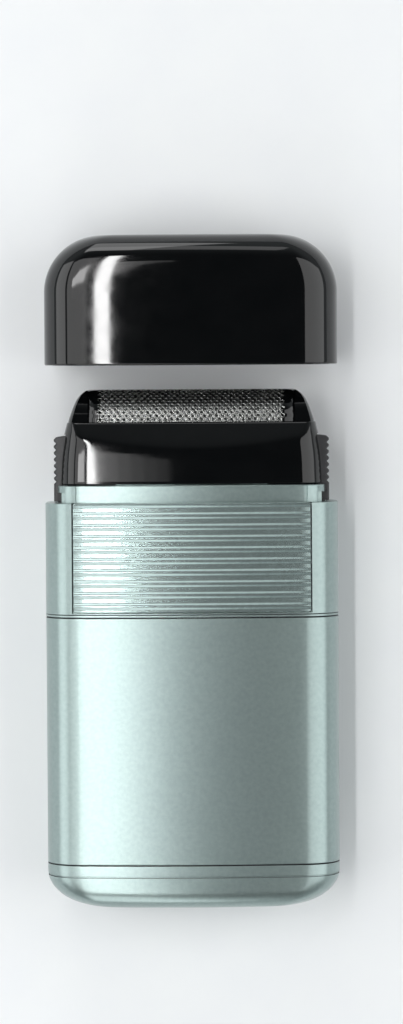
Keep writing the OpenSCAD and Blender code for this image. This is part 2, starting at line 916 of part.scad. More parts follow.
module blade_carrier() {
    half_w = foil_w / 2 - stroke - carrier_end;
    half_y = blade_r - 0.4;
    color(off_white) laid() difference() {
        union() {
            bore(0, 0, carrier_z, carrier_bar_z + 0.5, flange_r + 0.2);
            block([-half_w, -half_y, carrier_bar_z], [half_w, half_y, blade_z]);
        }
        bore(0, 0, carrier_z - 1, pin_top + float_travel + 0.3, pin_r + 0.05);
    }
}

module inner_blades() {
    blade_t = 0.35;
    blade_rim = 1.1;
    span = foil_w - 2 * (stroke + carrier_end + blade_t + 0.15);
    color(steel) laid() for (i = [0:blades - 1])
        translate([span * (i / (blades - 1) - 0.5), 0, 0])
            seen_from_side(blade_t) difference() {
                arch(blade_r, blade_z);
                arch(blade_r - blade_rim, blade_z - 1);
            }
}

// ---- head ----

module head_frame() {
    foot_w = body_w - 2 * head_inset;
    foot_y = body_t / 2 - head_inset;
    foot_proud = 0.03; // the leaning sides meet the flat ones just above the foot
    cheek_r = foil_r + 0.1;
    lip_y = foil_r + 0.7;
    lean_y = foot_y - 0.45;
    shoulder_w = foot_w - 1;
    top_w = foil_w - 0.6;
    end_r = 3.2;
    color(gloss_black) laid() difference() {
        intersection() {
            slab(head_z, crown_z + 1, head_inset);
            seen_from_front(body_t) polygon(concat(
                [[-foot_w / 2, head_z], [foot_w / 2, head_z], [shoulder_w / 2, head_z + 8.4]],
                quarter([top_w / 2, crown_z - end_r], end_r, end_r, 0),
                quarter([-top_w / 2, crown_z - end_r], end_r, end_r, 90),
                [[-shoulder_w / 2, head_z + 8.4]]
            ));
            seen_from_side(body_w) union() {
                polygon([
                    [-foot_y - foot_proud, head_z],
                    [foot_y + foot_proud, head_z],
                    [lean_y, lean_z],
                    [lip_y, lip_z],
                    [-lip_y, lip_z],
                    [-lean_y, lean_z]
                ]);
                translate([0, foil_z]) circle(cheek_r);
            }
        }
        centred(cavity_x, cavity_y, head_z - 1, holder_z);
        centred(holder_x + seat_gap, holder_y + seat_gap, holder_z - 0.5, holder_top);
        centred(foil_w / 2 + seat_gap, foil_r + seat_gap, holder_z, crown_z + 2);
        both_sides() block(
            [pocket_x, -button_w / 2 - pocket_gap, head_z - 1],
            [body_w, button_w / 2 + pocket_gap, button_top + pocket_gap]
        );
    }
}

module foil() {
    foot_z = holder_z + 0.4;
    color(steel) laid() seen_from_side(foil_w) difference() {
        arch(foil_r, foot_z);
        arch(foil_r - foil_t, foot_z - 1);
    }
}

// a half round about the foil's axis on two straight sides
module arch(r, foot_z) {
    intersection() {
        translate([0, foil_z]) circle(r);
        translate([-r, foil_z]) square([2 * r, r]);
    }
    translate([-r, foot_z]) square([2 * r, foil_z - foot_z]);
}

module foil_holder() {
    color(dark_grey) laid() difference() {
        centred(holder_x, holder_y, holder_z, holder_top - seat_gap);
        centred(foil_w / 2 + clamp_gap, foil_r + clamp_gap, holder_z - 1, holder_top + 1);
    }
}

// one button on the +x side; the other is its mirror
module release_button() {
    teeth = 7;
    tooth_z = collar_z + 1.1;
    pitch = (button_top - 0.3 - tooth_z) / teeth;
    tongue_x = body_w / 2 - collar_inset - 0.25;
    color(gloss_black) laid() difference() {
        union() {
            block([button_x0, -button_w / 2, button_z], [button_x1, button_w / 2, button_top]);
            block([button_x0, -button_w / 2, button_z - 1.3], [tongue_x, button_w / 2, button_z]);
        }
        for (i = [0:teeth])
            translate([button_x1, 0, tooth_z + i * pitch]) rotate([0, 45, 0])
                cube([0.6, button_w + 1, 0.6], center = true);
        translate([button_x0 - 1, 0, spring_z]) rotate([0, 90, 0])
            cylinder(h = spring_sink + 1, r = spring_r + 0.5);
    }
}

module release_button_right() {
    release_button();
}

module release_button_left() {
    mirror([1, 0, 0]) release_button();
}

module button_springs() {
    wire_d = 0.3;
    color(steel) laid() for (s = [-1, 1])
        translate([s * pocket_x, 0, spring_z]) rotate([0, 90 * s, 0])
            coil(spring_r, spring_r, button_x0 + spring_sink - pocket_x, wire_d, 4, steps = 10);
}

// ---- cap ----

module cap() {
    mouth = shoulder_z + 0.1;
    top = shoulder_z + cap_h;
    inner_corner = cap_corner_r - cap_wall;
    inner_edge = max(cap_edge_r - cap_wall, 0.5);
    color(gloss_black) laid() translate([0, 0, cap_off]) difference() {
        intersection() {
            slab(mouth, top, 0);
            seen_from_front(body_t + 2) round_top(body_w, mouth, top, cap_corner_r, cap_corner_r);
            seen_from_side(body_w + 2) round_top(body_t, mouth, top, cap_edge_r, cap_edge_r);
        }
        intersection() {
            slab(mouth - 1, top - cap_wall, cap_wall);
            seen_from_front(body_t + 2)
                round_top(body_w - 2 * cap_wall, mouth - 1, top - cap_wall, inner_corner, inner_corner);
            seen_from_side(body_w + 2)
                round_top(body_t - 2 * cap_wall, mouth - 1, top - cap_wall, inner_edge, inner_edge);
        }
    }
}

lower_shell();
waist_band();
upper_shell();
collar();
base_cap();
base_gasket();
cell_spring();
base_contact();
chassis();
negative_strip();
positive_contact();
switch_contact();
switch_plate();
switch_slider();
switch_bridge();
plate_clip();
motor_can();
motor_end_cap();
motor_magnets();
motor_bush();
motor_brushes();
motor_shaft();
armature();
eccentric();
motor_screws();
motor_leads();
oscillator();
flexure_legs();
drive_pin();
drive_seal();
blade_spring();
blade_carrier();
inner_blades();
collar_screws();
head_frame();
foil();
foil_holder();
release_button_left();
release_button_right();
button_springs();
battery();
cap();
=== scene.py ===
import json
import math

import bmesh
import bpy
from mathutils import Matrix, Vector


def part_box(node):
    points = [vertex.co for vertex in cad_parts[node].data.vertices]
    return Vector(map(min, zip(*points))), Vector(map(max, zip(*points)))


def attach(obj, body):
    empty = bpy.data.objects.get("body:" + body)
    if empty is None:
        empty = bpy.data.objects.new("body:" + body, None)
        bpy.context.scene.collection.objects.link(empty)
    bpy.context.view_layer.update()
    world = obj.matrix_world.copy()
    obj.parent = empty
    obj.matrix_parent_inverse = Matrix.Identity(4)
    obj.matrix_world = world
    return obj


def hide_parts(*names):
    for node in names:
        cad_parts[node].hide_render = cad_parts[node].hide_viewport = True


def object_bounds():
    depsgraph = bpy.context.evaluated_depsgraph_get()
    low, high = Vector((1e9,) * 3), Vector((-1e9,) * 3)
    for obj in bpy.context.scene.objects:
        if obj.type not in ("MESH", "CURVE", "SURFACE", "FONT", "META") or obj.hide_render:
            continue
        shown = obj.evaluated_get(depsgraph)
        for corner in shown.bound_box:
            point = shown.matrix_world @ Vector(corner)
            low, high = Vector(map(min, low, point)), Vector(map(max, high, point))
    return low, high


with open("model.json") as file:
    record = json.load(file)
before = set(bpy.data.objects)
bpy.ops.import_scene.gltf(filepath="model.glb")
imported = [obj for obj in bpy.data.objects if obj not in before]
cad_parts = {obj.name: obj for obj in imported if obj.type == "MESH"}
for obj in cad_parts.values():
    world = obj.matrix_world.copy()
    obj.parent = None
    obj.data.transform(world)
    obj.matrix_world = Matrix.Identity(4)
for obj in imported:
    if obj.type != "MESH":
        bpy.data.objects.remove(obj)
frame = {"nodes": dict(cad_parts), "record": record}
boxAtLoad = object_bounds()
nodes = frame["nodes"]
scene = bpy.context.scene
scene.view_settings.view_transform = "Standard"
print("frame loaded:", len(nodes), "nodes")

# Pieces are modelled standing up, in millimetres: z from the base to the head, -y the front.
# layDown puts them on their back, in metres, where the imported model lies.
mm = 0.001
halfLength = (boxAtLoad[1].y - boxAtLoad[0].y) / 2 / mm
bodyDepth = (boxAtLoad[1].z - boxAtLoad[0].z) / mm
bodyWidth = (boxAtLoad[1].x - boxAtLoad[0].x) / mm
layDown = Matrix.Scale(mm, 4) @ Matrix((
    (1, 0, 0, 0),
    (0, 0, 1, -halfLength),
    (0, -1, 0, bodyDepth / 2),
    (0, 0, 0, 1),
))


def heights(node):
    # how far a node's foot and top are from the base, standing up
    low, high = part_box(node)
    return low.y / mm + halfLength, high.y / mm + halfLength


# camera and lamps
camera = {"place": (0.0018, 0.0337, 0.7053), "tilt": -1.9, "roll": -0.36, "lens": 131.7, "sensor": 36,
          "nearest": 0.01, "farthest": 20}


def addCamera():
    data = bpy.data.cameras.new("camera")
    data.sensor_width = camera["sensor"]
    data.lens = camera["lens"]
    data.clip_start = camera["nearest"]
    data.clip_end = camera["farthest"]
    thing = bpy.data.objects.new("camera", data)
    scene.collection.objects.link(thing)
    thing.matrix_world = (
        Matrix.Translation(camera["place"])
        @ Matrix.Rotation(math.radians(camera["tilt"]), 4, "X")
        @ Matrix.Rotation(math.radians(camera["roll"]), 4, "Z")
    )
    scene.camera = thing


# angle: to the right of straight above; lean: towards the head; both in degrees, seen from the shaver.
# away, wide and tall are in metres.
softboxes = {
    "stripLeft": {"angle": -11.7, "lean": 1.5, "away": 0.75, "wide": 0.026, "tall": 0.8, "watts": 1.5},
    "glowLeft": {"angle": -29.0, "lean": 0, "away": 0.9, "wide": 0.5, "tall": 0.8, "watts": 2.0},
    "sideLeft": {"angle": -66, "lean": 0, "away": 0.7, "wide": 0.4, "tall": 0.8, "watts": 1.8},
    "sideRight": {"angle": 49, "lean": 0, "away": 0.8, "wide": 0.92, "tall": 0.8, "watts": 3.5},
    "headSheen": {"angle": -22, "lean": 8, "away": 0.9, "wide": 0.25, "tall": 0.05, "watts": 0.26},
    "ribGlow": {"angle": -10, "lean": 59.5, "away": 0.9, "wide": 0.55, "tall": 0.24, "watts": 0.5},
    "headEnd": {"angle": -25, "lean": 68, "away": 0.9, "wide": 0.26, "tall": 0.5, "watts": 0.9},
    "baseEnd": {"angle": -18, "lean": -58, "away": 0.9, "wide": 0.26, "tall": 0.7, "watts": 1.2},
}

# narrow lamps beside headSheen, each weaker than the last, let the head's sheen fade towards its middle
sheen = {"steps": 6, "angle": -10.2, "turn": 1.4, "lean": 8, "away": 0.9, "wide": 0.022, "tall": 0.05,
         "watts": 0.0096, "fade": 0.71}
for i in range(sheen["steps"]):
    softboxes[f"headFade{i}"] = {
        "angle": sheen["angle"] + i * sheen["turn"], "lean": sheen["lean"], "away": sheen["away"],
        "wide": sheen["wide"], "tall": sheen["tall"], "watts": sheen["watts"] * sheen["fade"] ** i}


def addSoftboxes():
    for name, box in softboxes.items():
        data = bpy.data.lights.new(name, "AREA")
        data.shape = "RECTANGLE"
        data.size = box["wide"]
        data.size_y = box["tall"]
        data.energy = box["watts"]
        thing = bpy.data.objects.new(name, data)
        scene.collection.objects.link(thing)
        thing.matrix_world = (
            Matrix.Rotation(math.radians(box["angle"]), 4, "Y")
            @ Matrix.Rotation(math.radians(-box["lean"]), 4, "X")
            @ Matrix.Translation((0, 0, box["away"]))
        )


def colour(hexCode):
    # sRGB to linear
    parts = [int(hexCode[i:i + 2], 16) / 255 for i in (1, 3, 5)]
    return [p / 12.92 if p < 0.04045 else ((p + 0.055) / 1.055) ** 2.4 for p in parts] + [1]


def addNode(tree, kind, settings=(), links=()):
    # adds a node with its settings and links
    node = tree.nodes.new("ShaderNode" + kind)
    for name, value in dict(settings).items():
        if hasattr(node, name):
            setattr(node, name, value)
        else:
            node.inputs[name].default_value = value
    for name, source in dict(links).items():
        tree.links.new(source, node.inputs[name])
    return node


def newMaterial(name, **settings):
    # a material with its shader's own values set
    material = bpy.data.materials.new(name)
    material.use_nodes = True
    tree = material.node_tree
    shader = tree.nodes["Principled BSDF"]
    for key, value in settings.items():
        shader.inputs[key.replace("_", " ")].default_value = value
    where = addNode(tree, "TexCoord").outputs["Object"]
    return material, tree, shader, where


def speckle(tree, where, size, low, high, detail=2):
    # noise whose grains are size millimetres across, mapped to low..high
    noise = addNode(tree, "TexNoise", {"Scale": 1 / (size * mm), "Detail": detail}, {"Vector": where})
    return addNode(
        tree, "MapRange", {"From Min": 0.3, "From Max": 0.7, "To Min": low, "To Max": high},
        {"Value": noise.outputs["Fac"]},
    ).outputs["Result"]


def shadeBetween(tree, shader, dark, light, amount):
    # the base colour wanders between two tones; the Mix node's colour sockets are inputs 6 and 7
    mix = addNode(tree, "Mix", {"data_type": "RGBA"}, {"Factor": amount})
    mix.inputs[6].default_value = colour(dark)
    mix.inputs[7].default_value = colour(light)
    tree.links.new(mix.outputs[2], shader.inputs["Base Color"])


def bumpFrom(tree, shader, height, depth):
    # bump of a real depth in millimetres
    bump = addNode(tree, "Bump", {"Strength": 1, "Distance": depth * mm}, {"Height": height})
    tree.links.new(bump.outputs["Normal"], shader.inputs["Normal"])


def makeLacquer(name, metallic, smoothest, roughest, grain):
    # metallic lacquer sprayed on moulded ABS: fine aluminium flake under a clear coat gives a wide,
    # soft highlight; where the flake lies more or less flat, the tone and the gloss wander a little
    material, tree, shader, where = newMaterial(
        name, Metallic=metallic, Coat_Weight=0.2, Coat_Roughness=smoothest)
    flake = speckle(tree, where, grain, 0, 1, 3)
    shadeBetween(tree, shader, "#91a19f", "#99a9a7", flake)
    rough = addNode(tree, "MapRange", {"To Min": smoothest, "To Max": roughest}, {"Value": flake})
    tree.links.new(rough.outputs["Result"], shader.inputs["Roughness"])
    return material


def makePolishedAbs():
    # black ABS from a polished mould: deep black, mirror-like, with a trace of flow and of handling
    material, tree, shader, where = newMaterial("polishedBlackAbs", IOR=1.54)
    shadeBetween(tree, shader, "#040506", "#070809", speckle(tree, where, 6, 0, 1))
    rough = speckle(tree, where, 2.5, 0.04, 0.07, 4)
    tree.links.new(rough, shader.inputs["Roughness"])
    bumpFrom(tree, shader, speckle(tree, where, 14, 0, 1, 0), 0.003)
    return material


def makeSparkedAbs():
    # black ABS from a spark-eroded mould: an even fine grain that scatters the light
    material, tree, shader, where = newMaterial("sparkErodedBlackAbs", IOR=1.54)
    shadeBetween(tree, shader, "#0e0f11", "#191a1d", speckle(tree, where, 1.5, 0, 1))
    tree.links.new(speckle(tree, where, 0.5, 0.34, 0.46), shader.inputs["Roughness"])
    bumpFrom(tree, shader, speckle(tree, where, 0.16, 0, 1), 0.008)
    return material


def makeDarkAbs():
    # dark grey ABS as moulded: dull, with faint flow marks
    material, tree, shader, where = newMaterial("mouldedDarkAbs", IOR=1.54)
    shadeBetween(tree, shader, "#2c2f32", "#383b3f", speckle(tree, where, 4, 0, 1, 3))
    tree.links.new(speckle(tree, where, 1.0, 0.38, 0.5), shader.inputs["Roughness"])
    bumpFrom(tree, shader, speckle(tree, where, 0.25, 0, 1), 0.006)
    return material


def makeAcetal():
    # natural acetal: milky, slightly waxy
    material, tree, shader, where = newMaterial(
        "mouldedAcetal", IOR=1.48, Subsurface_Weight=0.15, Subsurface_Radius=(1, 0.9, 0.8),
        Subsurface_Scale=0.001)
    shadeBetween(tree, shader, "#d9d5c8", "#e4e1d6", speckle(tree, where, 3, 0, 1))
    tree.links.new(speckle(tree, where, 0.8, 0.28, 0.4), shader.inputs["Roughness"])
    bumpFrom(tree, shader, speckle(tree, where, 0.3, 0, 1), 0.004)
    return material


def makeMetal(name, dark, light, rough, grain, depth):
    # rolled or drawn metal: long fine streaks along its length
    material, tree, shader, where = newMaterial(name, Metallic=1)
    stretch = addNode(tree, "Mapping", {"Scale": (1, 0.08, 1)}, {"Vector": where})
    streak = speckle(tree, stretch.outputs["Vector"], grain, 0, 1, 3)
    shadeBetween(tree, shader, dark, light, streak)
    spread = addNode(
        tree, "MapRange", {"To Min": rough - 0.05, "To Max": rough + 0.07}, {"Value": streak})
    tree.links.new(spread.outputs["Result"], shader.inputs["Roughness"])
    bumpFrom(tree, shader, streak, depth)
    return material


def makeFoilSteel():
    # electroformed nickel steel foil: bright, smooth on its lands, slightly frosted
    material, tree, shader, where = newMaterial("electroformedFoil", Metallic=1)
    shadeBetween(tree, shader, "#9c9d9b", "#b2b3b0", speckle(tree, where, 0.3, 0, 1))
    tree.links.new(speckle(tree, where, 0.5, 0.2, 0.32), shader.inputs["Roughness"])
    bumpFrom(tree, shader, speckle(tree, where, 0.12, 0, 1), 0.002)
    return material


def makeRubber():
    # moulded rubber: deep grey, dull, a bloom of dust
    material, tree, shader, where = newMaterial("mouldedRubber", IOR=1.52)
    shadeBetween(tree, shader, "#17181a", "#232528", speckle(tree, where, 1.2, 0, 1, 4))
    tree.links.new(speckle(tree, where, 0.6, 0.6, 0.8), shader.inputs["Roughness"])
    bumpFrom(tree, shader, speckle(tree, where, 0.2, 0, 1), 0.008)
    return material


def makeLeadJacket():
    # extruded PVC: even colour, a soft gloss, faint draw lines
    material, tree, shader, where = newMaterial("extrudedPvc", IOR=1.53)
    shadeBetween(tree, shader, "#9e221c", "#b32a23", speckle(tree, where, 1.5, 0, 1))
    tree.links.new(speckle(tree, where, 0.5, 0.3, 0.42), shader.inputs["Roughness"])
    bumpFrom(tree, shader, speckle(tree, where, 0.3, 0, 1), 0.003)
    return material


def makeCellJacket():
    # metallised shrink film over the cell: warm gold, glossy, slightly rippled where it shrank
    material, tree, shader, where = newMaterial(
        "metallisedShrinkFilm", Metallic=0.85, Coat_Weight=0.5, Coat_Roughness=0.08)
    shadeBetween(tree, shader, "#b98a4c", "#cb9c5c", speckle(tree, where, 5, 0, 1, 3))
    tree.links.new(speckle(tree, where, 2, 0.22, 0.32), shader.inputs["Roughness"])
    bumpFrom(tree, shader, speckle(tree, where, 3, 0, 1, 1), 0.02)
    return material


finishes = {
    "silver_paint": makeLacquer("satinLacquerOnAbs", 0.9, 0.29, 0.31, 0.8),
    "polishedPaint": makeLacquer("glossLacquerOnAbs", 0.75, 0.2, 0.22, 0.8),
    "black_gloss": makePolishedAbs(),
    "dark_plastic": makeDarkAbs(),
    "white_plastic": makeAcetal(),
    "steel": makeMetal("drawnSteel", "#9b9d9f", "#b4b6b8", 0.27, 0.3, 0.003),
    "foil_steel": makeFoilSteel(),
    "brass": makeMetal("stampedBrass", "#b8924a", "#caa55b", 0.26, 0.3, 0.003),
    "copper": makeMetal("enamelledCopper", "#9c5a38", "#b26a45", 0.3, 0.25, 0.004),
    "rubber": makeRubber(),
    "lead_jacket": makeLeadJacket(),
    "cell_jacket": makeCellJacket(),
    "sparked": makeSparkedAbs(),
}
print("materials made:", len(finishes))


board = {"halfSize": 2.5, "dark": "#e8eaec", "light": "#eaeced", "grain": 12}


def addFloor():
    # a plain pale matte board
    material, tree, shader, where = newMaterial("mattePaleBoard", Roughness=0.75)
    shadeBetween(tree, shader, board["dark"], board["light"], speckle(tree, where, board["grain"], 0, 1, 3))
    bm = bmesh.new()
    bmesh.ops.create_grid(bm, x_segments=4, y_segments=4, size=board["halfSize"])
    mesh = bpy.data.meshes.new("floor")
    bm.to_mesh(mesh)
    bm.free()
    mesh.materials.append(material)
    floor = bpy.data.objects.new("floor", mesh)
    scene.collection.objects.link(floor)


# brightness straight above and around, and the heights on the sky's ball between which one turns to the other
studio = {"above": 0.05, "around": 0.45, "upper": 0.95, "lower": 0.25, "tone": "#eaf2f4"}


def addWorld():
    # a studio that is darker straight above than around its walls
    world = bpy.data.worlds.new("studio")
    world.use_nodes = True
    tree = world.node_tree
    way = addNode(tree, "TexCoord").outputs["Generated"]
    parts = addNode(tree, "SeparateXYZ", {}, {"Vector": way})
    fade = addNode(
        tree, "MapRange",
        {"interpolation_type": "SMOOTHSTEP", "From Min": studio["upper"], "From Max": studio["lower"],
         "To Min": studio["above"], "To Max": studio["around"]},
        {"Value": parts.outputs["Z"]})
    back = tree.nodes["Background"]
    back.inputs["Color"].default_value = colour(studio["tone"])
    tree.links.new(fade.outputs["Result"], back.inputs["Strength"])
    scene.world = world


# how close is the same place, in millimetres: for points that merge, edges that vanish, cuts along a point,
# the twin line that keeps a step crisp, and finding what lies on it
near = {"merge": 0.002, "vanish": 0.001, "cut": 0.0005, "twin": 0.01, "find": 0.005}


def finishPiece(bm, name, body, slot, replaced, finish=None, sharp=35, other=None, isOther=None):
    # lays the piece down, gives it its finish, and hangs it on its body
    bmesh.ops.remove_doubles(bm, verts=bm.verts, dist=near["merge"])
    bmesh.ops.dissolve_degenerate(bm, edges=bm.edges, dist=near["vanish"])
    bmesh.ops.recalc_face_normals(bm, faces=bm.faces)
    for face in bm.faces:
        face.smooth = True
        face.material_index = int(isOther(face)) if isOther else 0
    bmesh.ops.transform(bm, matrix=layDown, verts=bm.verts)
    mesh = bpy.data.meshes.new(name)
    bm.to_mesh(mesh)
    bm.free()
    mesh.set_sharp_from_angle(angle=math.radians(sharp))
    mesh.materials.append(finishes[finish or slot])
    if other:
        mesh.materials.append(finishes[other])
    piece = bpy.data.objects.new(name, mesh)
    scene.collection.objects.link(piece)
    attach(piece, body)
    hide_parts(*replaced)
    print("made", name)
    return piece


def softenEdges(piece, width, angle):
    # rounds every edge sharper than angle
    bevel = piece.modifiers.new("softEdges", "BEVEL")
    bevel.width = width * mm
    bevel.segments = 2
    bevel.limit_method = "ANGLE"
    bevel.angle_limit = math.radians(angle)


# the body's section: round edges' and front arch's radii; support is the gap to the line that holds a round
shellSection = {"corner": 7.0, "arch": 200.0, "archSteps": 16, "cornerSteps": 16, "support": 0.5}
halfWidth = bodyWidth / 2
halfDepth = bodyDepth / 2
archCentreY = shellSection["arch"] - halfDepth


def quarterTurn(steps, first=0):
    # the angles of a quarter round in even steps
    return [math.radians(90 * i / steps) for i in range(first, steps + 1)]


def walk(start, second):
    # the corners of a closed wire in order
    order = [start, second]
    while True:
        here, before = order[-1], order[-2]
        ahead = next(o for o in (e.other_vert(here) for e in here.link_edges) if o is not before)
        if ahead is start:
            return order
        order.append(ahead)


def pointsOf(made):
    # the points among an operator's new geometry
    return [g for g in made if isinstance(g, bmesh.types.BMVert)]


def bodySection(bm, cutsX=(), cutsY=(), halfW=halfWidth, halfD=halfDepth, measures=shellSection):
    # the body's cross-section as a closed wire at z = 0: arched front, round edges, flat back.
    # base holds each point's x and y and the way out of the section there
    corner, arch, gap = measures["corner"], measures["arch"], measures["support"]
    cornerX, backY = halfW - corner, halfD - corner
    centreY = arch - halfD
    frontY = centreY - math.sqrt((arch - corner) ** 2 - cornerX ** 2)

    def along(verts, x, y):
        made = bmesh.ops.extrude_vert_indiv(bm, verts=verts)["verts"]
        made[0].co = (x, y, 0)
        return made

    def around(verts, x, y, angle, steps):
        made = bmesh.ops.spin(bm, geom=verts, cent=(x, y, 0), axis=(0, 0, 1), angle=angle, steps=steps)
        return pointsOf(made["geom_last"])

    turn = math.atan2(cornerX, centreY - frontY)
    tip = [bm.verts.new((0, -halfD, 0))]
    tip = around(tip, 0, centreY, turn, measures["archSteps"])
    tip = around(tip, cornerX, frontY, math.pi / 2 - turn, measures["cornerSteps"])
    tip = along(tip, halfW, frontY + gap)
    tip = along(tip, halfW, backY - gap)
    tip = along(tip, halfW, backY)
    tip = around(tip, cornerX, backY, math.pi / 2, measures["cornerSteps"])
    tip = along(tip, cornerX - gap, halfD)
    along(tip, 0, halfD)
    bmesh.ops.mirror(bm, geom=bm.verts[:] + bm.edges[:], axis="X", merge_dist=near["cut"])
    planes = [((s * x, 0, 0), (1, 0, 0)) for x in cutsX for s in (-1, 1)]
    planes += [((0, s * y, 0), (0, 1, 0)) for y in cutsY for s in (-1, 1)]
    for point, normal in planes:
        bmesh.ops.bisect_plane(
            bm, geom=bm.verts[:] + bm.edges[:], dist=near["cut"], plane_co=point, plane_no=normal)
    start = min(bm.verts, key=lambda v: (round(abs(v.co.x), 4), v.co.y))
    second = max((e.other_vert(start) for e in start.link_edges), key=lambda v: v.co.x)
    ring = walk(start, second)
    count = len(ring)
    base = []
    for i, v in enumerate(ring):
        ahead = (ring[(i + 1) % count].co - v.co).normalized()
        behind = (v.co - ring[i - 1].co).normalized()
        way = (ahead + behind).normalized()
        base.append((v.co.x, v.co.y, way.y, -way.x))
    return ring, base


def nextRing(bm, ring):
    # extrudes a closed ring and returns the new one in the same order
    count = len(ring)
    edges = [bm.edges.get((ring[i], ring[(i + 1) % count])) for i in range(count)]
    made = bmesh.ops.extrude_edge_only(bm, edges=edges)
    fresh = set(pointsOf(made["geom"]))
    return [next(o for o in (e.other_vert(v) for e in v.link_edges) if o in fresh) for v in ring]


def inset(x, y, nx, ny, depth):
    # a point of the section moved inwards
    return x - nx * depth, y - ny * depth


def stack(bm, ring, base, levels, place):
    # builds a wall ring by ring; place gives a point's x, y, z at a level
    for i, level in enumerate(levels):
        if i:
            ring = nextRing(bm, ring)
        for v, b in zip(ring, base):
            v.co = place(b, level)
    return ring


def stackClosed(bm, ring, base, levels, place):
    # the same, with both ends closed
    last = stack(bm, ring, base, levels, place)
    bm.faces.new(last)
    bm.faces.new(list(reversed(ring)))


def wallPath(z0, z1, wall, r, steps=3):
    # the outline of a wall's own section, with rounded rims, as (inset, height)
    path = []
    support = min(lowerShell["support"], (z1 - z0) / 2 - r - lowerShell["spare"])
    for turn, (x, z) in enumerate(((r, z1 - r), (wall - r, z1 - r), (wall - r, z0 + r), (r, z0 + r))):
        if turn == 2:
            path.append((wall, z1 - r - support))
            path.append((wall, z0 + r + support))
        for i in range(steps + 1):
            a = math.radians(90 * (turn + i / steps))
            path.append((x - r * math.cos(a), z + r * math.sin(a)))
    path.append((0, z0 + r + support))
    path.append((0, z1 - r - support))
    path.append(path[0])
    return path


def inwards(point):
    # roughly the way to the body's middle, which is a flat strip this wide to each side
    strip, flatness = 18, 3
    x = point.x - max(-strip, min(strip, point.x))
    return Vector((-x, -point.y * flatness, 0))


def isBare(face, steepest=0.55):
    # the lacquer stops at the rims, and the inside is bare
    return abs(face.normal.z) > steepest or face.normal.dot(inwards(face.calc_center_median())) > 0


def plainShell(z0, z1, wall, rim):
    # a closed band of the body's section
    bm = bmesh.new()
    ring, base = bodySection(bm)
    stack(bm, ring, base, wallPath(z0, z1, wall, rim),
          lambda b, level: (*inset(*b, level[0]), level[1]))
    return bm


lowerShell = {"wall": 1.6, "rim": 0.1, "support": 0.2, "spare": 0.02, "bandLift": 0.1}
for pieceName, node, lift in (("lowerShell", "lower_shell", 0),
                              ("waistBand", "waist_band", lowerShell["bandLift"])):
    low, high = heights(node)
    finishPiece(plainShell(low, high + lift, lowerShell["wall"], lowerShell["rim"]),
                pieceName, "body", "silver_paint", [node], other="dark_plastic", isOther=isBare)

# recess: how deep the switch plate's bed is; gap: the open line beside the plate; ledge: for the collar
upperShell = {"wall": 1.6, "rim": 0.1, "recess": 2.0, "recessWide": 44.0, "sill": 0.25, "floor": 1.0,
              "ledge": 1.4, "ledgeInset": 2.05, "gapWide": 0.5, "gapDeep": 0.7, "bedEdge": 1.0,
              "support": 0.2}


def makeUpperShell():
    u = upperShell
    bottom, top = heights("upper_shell")
    edge = u["recessWide"] / 2
    bm = bmesh.new()
    inside, twin = edge - u["gapWide"], near["twin"]
    ring, base = bodySection(bm, (edge, edge - twin, edge + u["bedEdge"], inside, inside - twin))
    recessY = u["recess"] - halfDepth
    rim = u["rim"]

    def place(b, level):
        depth, z, cut = level
        x, y = inset(*b, depth)
        if cut and b[1] < 0 and abs(b[0]) < edge - near["find"]:
            x, y = b[0], recessY + min(depth, u["floor"])
            if abs(b[0]) > inside - near["find"] and depth < u["wall"]:
                y += u["gapDeep"] * (1 - depth / u["wall"])
        if depth >= u["wall"] and b[1] < 0 and abs(b[0]) < edge + u["bedEdge"] + twin:
            y = max(y, recessY + u["floor"])
        return x, y, z

    levels = [(rim - rim * math.sin(a), bottom + rim - rim * math.cos(a), False) for a in quarterTurn(3)]
    sill, support = bottom + u["sill"], u["support"]
    levels += [(0, sill, False), (0, sill, True), (0, sill + support, True), (0, top - rim - support, True)]
    levels += [(rim - rim * math.cos(a), top - rim + rim * math.sin(a), True) for a in quarterTurn(3)]
    levels += [(u["ledgeInset"], top, True), (u["ledgeInset"], top - u["ledge"], True),
               (u["wall"], top - u["ledge"], True), (u["wall"], bottom, True), levels[0]]
    stack(bm, ring, base, levels, place)
    finishPiece(bm, "upperShell", "body", "silver_paint", ["upper_shell"], other="dark_plastic",
                isOther=lambda face: isBare(face) and face.normal.z < 0.5)


makeUpperShell()

# line: the fine groove's depth below the seam
baseCap = {"roundWide": 10.0, "roundTall": 6.6, "edge": 3.2, "line": 2.1, "lineWide": 0.2, "lineSoft": 0.06,
           "rim": 0.1, "wall": 1.6, "floor": 1.8, "innerWide": 6.0, "innerTall": 5.0, "support": 0.2,
           "roundSteps": 22, "innerSteps": 8}


def squeeze(depth, radius):
    # how far a quarter round has drawn in at a depth into it, as a share of its radius
    return 1 - math.sqrt(max(0.0, 1 - (max(0.0, depth) / radius) ** 2))


